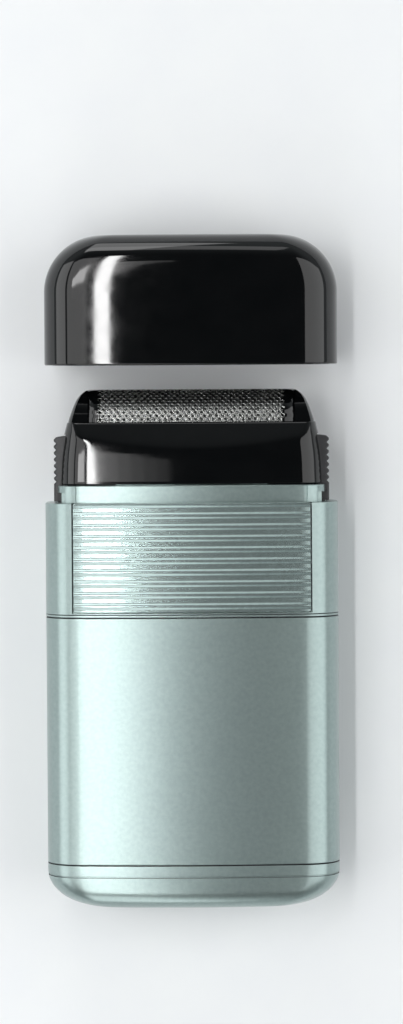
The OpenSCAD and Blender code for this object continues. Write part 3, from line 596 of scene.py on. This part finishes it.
def makeBaseCap():
    c = baseCap
    low, high = heights("base_cap")
    bm = bmesh.new()
    ring, base = bodySection(bm)

    def outer(b, level):
        depth, z = level
        x, y = inset(*b, depth)
        wide = halfWidth - c["roundWide"] * squeeze(c["roundTall"] - z, c["roundTall"])
        deep = halfDepth - c["edge"] * squeeze(c["edge"] - z, c["edge"])
        return x * wide / halfWidth, y * deep / halfDepth, z

    def inner(b, level):
        z = level[1]
        x, y = inset(*b, c["wall"])
        reach = c["innerTall"] + c["floor"] - z
        wide = halfWidth - c["wall"] - c["innerWide"] * squeeze(reach, c["innerTall"])
        return x * wide / (halfWidth - c["wall"]), y, z

    def place(b, level):
        return inner(b, level) if level[0] is None else outer(b, level)

    rim, lineZ, half, soft = c["rim"], high - c["line"], c["lineWide"] / 2, c["lineSoft"]
    levels = [(None, c["floor"])]
    levels += [(None, c["floor"] + c["innerTall"] * (1 - math.cos(a)))
               for a in quarterTurn(c["innerSteps"], 1)]
    levels += [(None, high)]
    levels += [(rim - rim * math.sin(a), high - rim + rim * math.cos(a)) for a in quarterTurn(3)]
    levels += [(0, high - rim - c["support"]), (0, lineZ + half + soft), (soft, lineZ + half),
               (c["lineWide"], lineZ + half), (c["lineWide"], lineZ - half), (soft, lineZ - half),
               (0, lineZ - half - soft)]
    below = [c["roundTall"] * (1 - math.sin(a)) for a in quarterTurn(c["roundSteps"], 3)]
    levels += [(0, z) for z in below if z < lineZ - half - rim]
    stackClosed(bm, ring, base, levels, place)
    finishPiece(bm, "baseCap", "base", "silver_paint", ["base_cap"], other="dark_plastic",
                isOther=lambda face: isBare(face) and face.normal.z > -0.5)


makeBaseCap()

cap = {"corner": 10.5, "edge": 5.0, "wall": 1.2, "rim": 0.3, "support": 0.5, "innerSteps": 18,
       "outerSteps": 30}


def makeCap():
    c = cap
    mouth, top = heights("cap")
    bm = bmesh.new()
    ring, base = bodySection(bm)

    def place(b, level):
        depth, z = level
        x, y = inset(*b, depth)
        end = top - depth if depth > c["rim"] else top
        corner, edge = c["corner"] - (top - end), c["edge"] - (top - end)
        wide = 1 - corner * squeeze(z - end + corner, corner) / (halfWidth - depth)
        deep = 1 - edge * squeeze(z - end + edge, edge) / (halfDepth - depth)
        return x * wide, y * deep, z

    # down the inside, round the mouth's rim, and up the outside
    wall, rim = c["wall"], c["rim"]
    levels = [(wall, top - wall - (c["corner"] - wall) * (1 - math.cos(a)))
              for a in quarterTurn(c["innerSteps"])]
    levels += [(wall, mouth + rim)]
    levels += [(wall - rim + rim * math.cos(a), mouth + rim - rim * math.sin(a))
               for a in quarterTurn(4, 1)[:-1]]
    levels += [(rim - rim * math.sin(a), mouth + rim - rim * math.cos(a)) for a in quarterTurn(4, 1)]
    levels += [(0, mouth + rim + c["support"])]
    levels += [(0, top - c["corner"] * (1 - math.sin(a))) for a in quarterTurn(c["outerSteps"])]
    stackClosed(bm, ring, base, levels, place)
    finishPiece(bm, "cap", "cap", "black_gloss", ["cap"])


makeCap()

# crest and valley: where a rib's flank starts and ends, as shares of the pitch
switchPlate = {"wide": 43.5, "ribs": 9, "ribDepth": 0.32, "crest": 0.03, "valley": 0.36, "steps": 24,
               "back": 9.1, "rim": 0.15, "rimSoft": 0.04, "stepsAcross": 44}


def cornerDrop(x):
    # how far the body's round edge falls behind its arch
    arch, corner = shellSection["arch"], shellSection["corner"]
    cornerX = halfWidth - corner
    if abs(x) * (arch - corner) < cornerX * arch:
        return 0
    frontY = archCentreY - math.sqrt((arch - corner) ** 2 - cornerX ** 2)
    onEdge = frontY - math.sqrt(corner ** 2 - (abs(x) - cornerX) ** 2)
    return onEdge - archCentreY + math.sqrt(arch ** 2 - x ** 2)


def makeSwitchPlate():
    s = switchPlate
    z0, z1 = heights("switch_plate")
    pitch = (z1 - z0) / (s["ribs"] + 0.5)
    bm = bmesh.new()
    crest = -halfDepth
    tip = bm.verts.new((0, -s["back"], z0))
    path = []
    for i in range(-s["steps"] // 2, s["ribs"] * s["steps"] + 1):
        share = i / s["steps"]
        fall = min(1, max(0, (abs(share - round(share)) - s["crest"]) / (s["valley"] - s["crest"])))
        path.append((crest + s["ribDepth"] * fall * fall * (3 - 2 * fall), z0 + pitch * (0.5 + share)))
    path[-1] = (crest + s["rim"], z1)
    path.insert(-1, (crest + s["rimSoft"], z1 - s["rimSoft"]))
    path.append((-s["back"], z1))
    for y, z in path:
        tip = bmesh.ops.extrude_vert_indiv(bm, verts=[tip])["verts"][0]
        tip.co = (0, y, z)
    # the ribs follow the body's arch and round edges, and the back is flat
    angle = math.asin(s["wide"] / 2 / shellSection["arch"])
    bmesh.ops.rotate(bm, verts=bm.verts, cent=(0, archCentreY, 0), matrix=Matrix.Rotation(-angle, 3, "Z"))
    bmesh.ops.spin(bm, geom=bm.verts[:] + bm.edges[:], cent=(0, archCentreY, 0), axis=(0, 0, 1),
                   angle=2 * angle, steps=s["stepsAcross"])
    for v in bm.verts:
        away = Vector((v.co.x, v.co.y - archCentreY)).length
        if abs(away - (archCentreY + s["back"])) < near["twin"]:
            v.co.y = -s["back"]
        else:
            v.co.y += cornerDrop(v.co.x)
    bmesh.ops.holes_fill(bm, edges=[e for e in bm.edges if e.is_boundary], sides=0)
    bmesh.ops.contextual_create(bm, geom=[e for e in bm.edges if e.is_boundary])
    finishPiece(bm, "switchPlate", "switch", "silver_paint", ["switch_plate"], finish="polishedPaint",
                sharp=50)


makeSwitchPlate()

# rowUp: from one row of holes to the next; web: the steel left round a hole; slant and squeeze shape it;
# ends: how far beyond the holes the dark ends start
foil = {"radius": 4.8, "thick": 0.1, "pitch": 1.1, "rowUp": 0.66, "columns": 31, "rows": 26, "web": 0.17,
        "slant": -28, "squeeze": (0.93, 0.86, 1), "corner": 0.09, "holeReach": 0.6, "weld": 0.01,
        "cut": 0.0001, "ends": 0.5, "raggedX": 0.4, "raggedY": 0.1}


def makeFoil():
    f = foil
    foot, crown = heights("foil")
    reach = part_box("foil")[1].x / mm
    axisZ = crown - f["radius"]
    bm = bmesh.new()

    def repeat(step, count):
        bmesh.ops.spin(bm, geom=bm.verts[:] + bm.edges[:] + bm.faces[:], cent=(0, 0, 0), axis=(0, 0, 1),
                       dvec=step, angle=0, steps=count, use_duplicate=True)

    def drawOut(edges, axis, end):
        # a plain margin: ragged edges drawn out to a straight one
        for v in pointsOf(bmesh.ops.extrude_edge_only(bm, edges=edges)["geom"]):
            v.co[axis] = math.copysign(end, v.co[axis])

    # one six-sided cell with its hole
    bmesh.ops.create_circle(bm, segments=6, radius=1, cap_ends=True)
    if min(abs(v.co.x) for v in bm.verts) > 0.1:
        bmesh.ops.rotate(bm, verts=bm.verts, matrix=Matrix.Rotation(math.radians(90), 3, "Z"))
    bmesh.ops.scale(bm, verts=bm.verts, vec=(f["pitch"] / math.sqrt(3), f["rowUp"] / 1.5, 1))
    bmesh.ops.inset_individual(bm, faces=bm.faces[:], thickness=f["web"], use_even_offset=True)
    hole = next(face for face in bm.faces if not any(e.is_boundary for e in face.edges))
    rim = hole.verts[:]
    bmesh.ops.delete(bm, geom=[hole], context="FACES_ONLY")
    bmesh.ops.rotate(bm, verts=rim, matrix=Matrix.Rotation(math.radians(f["slant"]), 3, "Z"))
    bmesh.ops.scale(bm, verts=rim, vec=f["squeeze"])
    bmesh.ops.bevel(bm, geom=rim, offset=f["corner"], offset_type="OFFSET", segments=1, profile=0.5,
                    affect="VERTICES", material=-1)
    # the hole stays filled until the margins are made
    farthest = f["rowUp"] * f["holeReach"]
    rim = [e for e in bm.edges if e.is_boundary and all(v.co.length < farthest for v in e.verts)]
    bmesh.ops.contextual_create(bm, geom=rim)["faces"][0].material_index = 1
    # its row, and the row above it moved along by half a cell, and then all the rows
    repeat((f["pitch"], 0, 0), f["columns"] - 1)
    repeat((f["pitch"] / 2, f["rowUp"], 0), 1)
    repeat((0, f["rowUp"] * 2, 0), f["rows"] // 2 - 1)
    bmesh.ops.remove_doubles(bm, verts=bm.verts, dist=f["weld"])
    middle = Vector((f["pitch"] * (f["columns"] - 0.5) / 2, f["rowUp"] * (f["rows"] - 1) / 2, 0))
    bmesh.ops.translate(bm, verts=bm.verts, vec=-middle)
    # plain margins down to the feet, and then out to the ends
    quarter = math.pi * f["radius"] / 2
    girth = quarter + axisZ - foot
    half = f["pitch"] * f["columns"] / 2 - f["raggedX"]
    far = f["rowUp"] * (f["rows"] - 1) / 2 + f["raggedY"]
    drawOut([e for e in bm.edges if e.is_boundary and all(abs(v.co.y) > far for v in e.verts)], 1, girth)
    drawOut([e for e in bm.edges if e.is_boundary and all(abs(v.co.x) > half for v in e.verts)
             and min(abs(v.co.y) for v in e.verts) < girth - f["weld"]], 0, reach)
    for y in (-1, 1):
        for share in (0.5, 0.75):
            bmesh.ops.bisect_plane(bm, geom=bm.verts[:] + bm.edges[:] + bm.faces[:], dist=f["cut"],
                                   plane_co=(0, y * (far + (girth - far) * share), 0), plane_no=(0, 1, 0))
    holes = [face for face in bm.faces if face.material_index]
    bmesh.ops.delete(bm, geom=holes, context="FACES_ONLY")
    # bent over the arch
    for v in bm.verts:
        x, along = v.co.x, v.co.y
        turn = max(-quarter, min(quarter, along)) / f["radius"]
        over = abs(along) - quarter
        v.co = (x, f["radius"] * math.sin(turn), axisZ + f["radius"] * math.cos(turn) - max(0, over))
    piece = finishPiece(bm, "foil", "head", "foil_steel", ["foil"], sharp=50, other="black_gloss",
                        isOther=lambda face: abs(face.calc_center_median().x) > half + f["ends"])
    shell = piece.modifiers.new("sheet", "SOLIDIFY")
    shell.thickness = f["thick"] * mm
    shell.offset = -1


makeFoil()

# outline: half widths at heights above the foot; lean and lip: where the front's two slopes end; seat and
# cavity: the foil holder's room; pocket: the notch for a button; middle: points nearer the axis keep their y
headFrame = {
    "section": {"corner": 4.4, "arch": 250.0, "archSteps": 14, "cornerSteps": 12, "support": 0.4},
    "wide": 48.5, "deep": 16.5, "lean": 6.4, "lip": 11.4, "leanDeep": 7.8, "lipDeep": 5.5, "crease": 0.22,
    "outline": ((0, 24.25), (5, 24.05), (9, 23.5), (12, 22.75), (14.3, 21.9), (15.7, 21.2), (16.6, 20.45),
                (17.15, 19.6), (17.35, 19.1), (17.4, 18.7)),
    "slotX": 19.05, "slotY": 4.85, "dome": 4.9, "cavityX": 20.2, "cavityY": 6.6, "wall": 1.65,
    "seatX": 19.75, "seatY": 5.9, "seatUp": 1.5, "seatDown": 0.3, "pocketX": 21.4, "pocketY": 4.65,
    "pocketSpare": 0.15, "rim": 0.2, "support": 0.3, "firstRows": (2, 4), "row": 5.6, "rowUp": 0.16,
    "rowsEnd": 0.25, "middle": 2, "cheekSteps": 14, "cheekSpare": 0.1, "thinnest": 0.05,
}


def flatFaces(bm, z, flat=0.99):
    # the level faces at a height
    return [f for f in bm.faces
            if abs(f.normal.z) > flat and abs(f.calc_center_median().z - z) < near["twin"]]


def between(points, z):
    # the width at a height, on straight lines from point to point
    for (z0, w0), (z1, w1) in zip(points, points[1:]):
        if z <= z1:
            return w0 + (w1 - w0) * max(0, z - z0) / (z1 - z0)
    return points[-1][1]


def makeHeadFrame():
    h = headFrame
    foot, crown = heights("head_frame")
    buttonTop = heights("release_button_right")[1] + h["pocketSpare"]
    halfW, halfD = h["wide"] / 2, h["deep"] / 2
    lean, lip, axisZ = foot + h["lean"], foot + h["lip"], crown - foil["radius"]
    bm = bmesh.new()
    ring, base = bodySection(bm, (), (h["pocketY"], h["pocketY"] - near["twin"]), halfW, halfD, h["section"])

    def place(b, level):
        depth, z, kind = level
        x, y = inset(*b, depth)
        if kind in ("cavity", "seat"):
            sideX, sideY = h[kind + "X"], h[kind + "Y"]
            return max(-sideX, min(sideX, x)), max(-sideY, min(sideY, y)), z
        if kind == "pocket" and abs(b[1]) < h["pocketY"] - near["find"] and abs(b[0]) > h["pocketX"]:
            return math.copysign(h["pocketX"], x), y, z
        x *= between(h["outline"], z - foot) / halfW
        y *= 1 - (1 - h["leanDeep"] / halfD) * (z - foot) / h["lean"]
        # the two slopes meet in a soft crease
        limit = h["leanDeep"] + (h["lipDeep"] - h["leanDeep"]) * (z - lean) / (lip - lean) - depth
        soft = 0.5 * (abs(y) + limit - math.sqrt((abs(y) - limit) ** 2 + h["crease"] ** 2))
        return x, math.copysign(soft, y) if abs(y) > h["middle"] else y, z

    rim, wall, seatFoot = h["rim"], h["wall"], lean - h["seatDown"]
    levels = [(wall, lean + h["seatUp"], "seat"), (wall, seatFoot, "seat"), (wall, seatFoot, "cavity"),
              (wall, foot, "cavity")]
    levels += [(rim * (1 - math.sin(a)), foot + rim * (1 - math.cos(a)), "pocket") for a in quarterTurn(3)]
    up = [foot + rim + h["support"]] + [foot + z for z in h["firstRows"]]
    z = foot + h["row"]
    while z < lip - h["rowsEnd"]:
        up.append(z)
        z += h["rowUp"]
    up = [z for z in up if abs(z - buttonTop) > h["thinnest"]]
    levels += [(0, z, "pocket") for z in up if z < buttonTop]
    levels += [(0, buttonTop, "pocket"), (0, buttonTop, "full")]
    levels += [(0, z, "full") for z in up if z > buttonTop]
    levels += [(rim * (1 - math.cos(a)), lip - rim * (1 - math.sin(a)), "full") for a in quarterTurn(3)]
    last = stack(bm, ring, base, levels, place)
    # the ledge and, below it, the seat's ceiling, both cut open for the foil
    for loop in (last, ring):
        lid = bm.faces.new(loop)
        parts = [lid] + lid.verts[:] + lid.edges[:]
        for point, normal in (((h["slotX"], 0, 0), (1, 0, 0)), ((-h["slotX"], 0, 0), (1, 0, 0)),
                              ((0, h["slotY"], 0), (0, 1, 0)), ((0, -h["slotY"], 0), (0, 1, 0))):
            parts = bmesh.ops.bisect_plane(
                bm, geom=parts, dist=near["cut"], plane_co=point, plane_no=normal)["geom"]
        slot = [g for g in parts if isinstance(g, bmesh.types.BMFace)
                and abs(g.calc_center_median().x) < 1 and abs(g.calc_center_median().y) < 1]
        bmesh.ops.delete(bm, geom=slot, context="FACES_ONLY")
    bmesh.ops.bridge_loops(bm, edges=[e for e in bm.edges if e.is_boundary])

    def cheekSize(z):
        wide = between(h["outline"], z - foot) - h["slotX"]
        deep = math.sqrt(max(near["twin"], h["dome"] ** 2 - max(0, z - axisZ) ** 2))
        return max(h["thinnest"], wide), min(h["slotY"], deep)

    # the cheeks rise from the ledge's ends and close over the foil's ends
    rise = [lip + (crown - h["cheekSpare"] - lip) * math.sin(a) for a in quarterTurn(h["cheekSteps"])]
    for side in (-1, 1):
        top = [f for f in flatFaces(bm, lip, 0.9)
               if f.calc_center_median().x * side > h["slotX"]
               and abs(f.calc_center_median().y) < h["middle"]]
        for before, z in zip(rise, rise[1:]):
            made = bmesh.ops.extrude_face_region(bm, geom=top)["geom"]
            bmesh.ops.delete(bm, geom=top, context="FACES_ONLY")
            top = [g for g in made if isinstance(g, bmesh.types.BMFace)]
            wideNow, deepNow = cheekSize(z)
            wideWas, deepWas = cheekSize(before)
            for v in {v for f in top for v in f.verts}:
                beyond = v.co.x * side - h["slotX"]
                v.co = (side * (h["slotX"] + beyond * wideNow / wideWas), v.co.y * deepNow / deepWas, z)
    piece = finishPiece(bm, "headFrame", "head", "black_gloss", ["head_frame"], sharp=32)
    softenEdges(piece, 0.08, 42)


makeHeadFrame()

# firstTooth: from the foot's top; lastTooth: below the button's top
releaseButton = {"thick": 2.75, "wide": 9.0, "teeth": 7, "firstTooth": 3.65, "lastTooth": 0.3,
                 "toothDeep": 0.42, "foot": 1.3, "footThick": 2.0, "round": 0.35, "roundedIn": 0.5,
                 "soften": 0.06}


def makeReleaseButton(side, pieceName, body, node):
    r = releaseButton
    foot, top = heights(node)
    low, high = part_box(node)
    outer = max(abs(low.x), abs(high.x)) / mm
    inner = outer - r["thick"]
    step, footTop = inner + r["footThick"], foot + r["foot"]
    firstTooth = footTop + r["firstTooth"]
    pitch = (top - r["lastTooth"] - firstTooth) / r["teeth"]
    path = [(step, foot), (step, footTop), (outer, footTop)]
    for i in range(r["teeth"] + 1):
        z = firstTooth + i * pitch
        path += [(outer, z - r["toothDeep"]), (outer - r["toothDeep"], z), (outer, z + r["toothDeep"])]
    path = path[:-1] + [(inner, top)]
    bm = bmesh.new()
    bm.faces.new([bm.verts.new((x, -r["wide"] / 2, min(z, top))) for x, z in [(inner, foot)] + path])
    made = bmesh.ops.extrude_face_region(bm, geom=bm.faces[:])["geom"]
    bmesh.ops.translate(bm, verts=pointsOf(made), vec=(0, r["wide"], 0))
    # the teeth's outlines at both sides are rounded
    ends = [e for e in bm.edges if abs(abs(e.verts[0].co.y) - r["wide"] / 2) < near["twin"]
            and abs(e.verts[0].co.y - e.verts[1].co.y) < near["twin"]
            and min(v.co.x for v in e.verts) > outer - r["roundedIn"]]
    bmesh.ops.bevel(bm, geom=ends, offset=r["round"], offset_type="OFFSET", segments=3, profile=0.5,
                    affect="EDGES", material=-1, clamp_overlap=True)
    if side < 0:
        bmesh.ops.scale(bm, verts=bm.verts, vec=(-1, 1, 1))
    piece = finishPiece(bm, pieceName, body, "black_gloss", [node], finish="sparked", sharp=30)
    softenEdges(piece, r["soften"], 35)


makeReleaseButton(1, "releaseButtonRight", "right_button", "release_button_right")
makeReleaseButton(-1, "releaseButtonLeft", "left_button", "release_button_left")

# channel: the shallow hollow in front; notch: beside it at each corner; slotY: the edges of the buttons'
# slots; sink: for a screw
collar = {"inset": 2.15, "channel": 0.35, "channelWide": 44.0, "notchX": 23.3, "notchY": -5.2,
          "notchTall": 1.9, "notchEdge": 0.3, "notchSoft": 0.4, "rim": 0.22, "support": 0.2, "gap": 0.2,
          "skirt": 1.2, "deck": 1.6, "sealBore": 4.0, "screwX": 17.5, "screwY": 4.8, "sink": 0.9,
          "sinkRadius": 1.75, "ribWide": 28.0, "ribThick": 1.05, "ribTall": 2.1, "ribSunk": 0.1,
          "ribY": 6.45, "slotY": 4.65, "soften": 0.05}


def addHole(bm, x, y, z, radius, depth, closed, way=1):
    # a round hole in the flat face at height z, going down, or up where way is -1, with its edge broken
    sides, edge = 24, 0.08
    around = radius * 1.25
    planes = [((x + s * around, 0, 0), (1, 0, 0)) for s in (-1, 1)]
    planes += [((0, y + s * around, 0), (0, 1, 0)) for s in (-1, 1)]
    for point, normal in planes:
        flat = flatFaces(bm, z)
        parts = flat + list({v for f in flat for v in f.verts}) + list({e for f in flat for e in f.edges})
        bmesh.ops.bisect_plane(bm, geom=parts, dist=near["cut"], plane_co=point, plane_no=normal)
    bm.normal_update()
    limit = around + near["twin"]
    inside = [f for f in flatFaces(bm, z)
              if all(abs(v.co.x - x) < limit and abs(v.co.y - y) < limit for v in f.verts)]
    before = set(e for e in bm.edges if e.is_boundary)
    bmesh.ops.delete(bm, geom=inside, context="FACES")
    rim = [e for e in bm.edges if e.is_boundary and e not in before]
    bmesh.ops.subdivide_edges(bm, edges=rim, cuts=max(1, sides // len(rim) - 1))
    rim = [e for e in bm.edges if e.is_boundary and e not in before]
    for reach, drop in ((radius + edge, 0), (radius, edge), (radius, depth)):
        made = bmesh.ops.extrude_edge_only(bm, edges=rim)["geom"]
        for v in pointsOf(made):
            out = Vector((v.co.x - x, v.co.y - y)).normalized() * reach
            v.co = (x + out.x, y + out.y, z - way * drop)
        rim = [g for g in made if isinstance(g, bmesh.types.BMEdge)]
    if closed:
        bmesh.ops.holes_fill(bm, edges=rim, sides=0)
    return rim


def addBlock(bm, low, high):
    # a block with rounded edges
    made = bmesh.ops.create_cube(bm, size=1)["verts"]
    low, high = Vector(low), Vector(high)
    bmesh.ops.scale(bm, verts=made, vec=high - low)
    bmesh.ops.translate(bm, verts=made, vec=(low + high) / 2)
    edges = list({e for v in made for e in v.link_edges})
    bmesh.ops.bevel(bm, geom=edges, offset=0.15, offset_type="OFFSET", segments=2, profile=0.5,
                    affect="EDGES", material=-1)


def makeCollar():
    c = collar
    skirtFoot = heights("collar")[0]
    shoulder, top = heights("upper_shell")[1], heights("head_frame")[0] - c["gap"]
    edge, twin = c["channelWide"] / 2, near["twin"]
    bm = bmesh.new()
    ring, base = bodySection(
        bm, (edge, edge - twin, c["notchX"] + c["notchEdge"]), (c["slotY"], c["slotY"] - twin))

    def place(b, level):
        depth, z, kind = level
        x, y = inset(*b, c["inset"] + depth)
        if b[1] < 0 and abs(b[0]) < edge - near["find"] and depth < c["skirt"]:
            y += c["channel"]
        if kind == "notch" and b[1] < c["notchY"]:
            x = max(-c["notchX"], min(c["notchX"], x))
        return x, y, z

    rim, notchTop = c["rim"], shoulder + c["notchTall"]
    levels = [(c["skirt"], top - c["deck"], ""), (c["skirt"], skirtFoot, ""), (0, skirtFoot, ""),
              (0, shoulder, ""), (0, shoulder, "notch"), (0, notchTop - c["notchSoft"], "notch"),
              (0, notchTop, "notch"), (0, notchTop, ""), (0, top - rim - c["support"], "")]
    levels += [(rim * (1 - math.cos(a)), top - rim * (1 - math.sin(a)), "") for a in quarterTurn(3)]
    stackClosed(bm, ring, base, levels, place)
    bm.normal_update()
    for side in (-1, 1):
        addHole(bm, side * c["screwX"], c["screwY"], top, c["sinkRadius"], c["sink"], True)
    upper = addHole(bm, 0, 0, top, c["sealBore"], c["deck"] / 4, False)
    lower = addHole(bm, 0, 0, top - c["deck"], c["sealBore"], c["deck"] / 4, False, way=-1)
    bmesh.ops.bridge_loops(bm, edges=upper + lower)
    for side in (-1, 1):
        y0, y1 = sorted((side * c["ribY"], side * (c["ribY"] - c["ribThick"])))
        addBlock(bm, (-c["ribWide"] / 2, y0, top - c["ribSunk"]), (c["ribWide"] / 2, y1, top + c["ribTall"]))
    piece = finishPiece(bm, "collar", "body", "silver_paint", ["collar"])
    softenEdges(piece, c["soften"], 50)


makeCollar()

# nub: the raised end; jacket: where the film starts above the foot and ends below the flat top
cell = {"radius": 7.25, "nubRadius": 2.75, "nubTall": 1.3, "jacketFoot": 0.7, "jacketTop": 0.61, "steps": 64}


def makeBattery():
    c = cell
    foot, top = heights("battery")
    low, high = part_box("battery")
    x, y = (low.x + high.x) / 2 / mm, halfDepth - (low.z + high.z) / 2 / mm
    r, body, end = c["radius"], top - foot - c["nubTall"], top - foot
    nub, dish = c["nubRadius"], 0.35
    # radius and height from the dished foot, up the jacket with its groove, over the crimp, to the nub
    profile = [(4.6, dish), (5.0, 0.05), (5.4, 0), (6.0, 0), (6.5, 0.15), (6.75, 0.45), (6.9, 0.68),
               (r - 0.12, 0.7), (r, 0.85), (r, 1.6), (r, 12), (r, 24), (r, 36), (r, body - 2.6),
               (r, body - 2.3), (r - 0.06, body - 2.15), (r, body - 2.0), (r, body - 0.95),
               (r - 0.1, body - 0.7), (r - 0.5, body - 0.62), (6.5, body - 0.6), (6.2, body - 0.2),
               (5.9, body), (5.4, body - 0.05), (5.1, body - 0.35), (4.0, body - 0.4),
               (nub + 0.2, body - 0.4), (nub, body - 0.2), (nub, body + 0.2), (nub, end - 0.35),
               (nub - 0.12, end - 0.1), (nub - 0.4, end), (1, end), (0, end)]
    bm = bmesh.new()
    tip = bm.verts.new((0, 0, dish))
    for radius, z in profile:
        tip = bmesh.ops.extrude_vert_indiv(bm, verts=[tip])["verts"][0]
        tip.co = (radius, 0, z)
    bmesh.ops.spin(bm, geom=bm.verts[:] + bm.edges[:], cent=(0, 0, 0), axis=(0, 0, 1), angle=2 * math.pi,
                   steps=c["steps"], use_merge=True)
    bmesh.ops.translate(bm, verts=bm.verts, vec=(x, y, foot))

    def isEnd(face):
        z = face.calc_center_median().z - foot
        return z < c["jacketFoot"] or z > body - c["jacketTop"]

    finishPiece(bm, "battery", "battery", "cell_jacket", ["battery"], sharp=40, other="steel", isOther=isEnd)


makeBattery()

addCamera()
addSoftboxes()
addWorld()
addFloor()
print("camera, lamps and floor placed")

# the pieces inside keep their shape and get their finish
for name, thing in nodes.items():
    slotName = next(p["material_slot"] for p in frame["record"]["subparts"] if p["node"] == name)
    if not thing.material_slots:
        thing.data.materials.append(finishes[slotName])
    for holder in thing.material_slots:
        holder.material = finishes[slotName]
print("inner pieces finished")
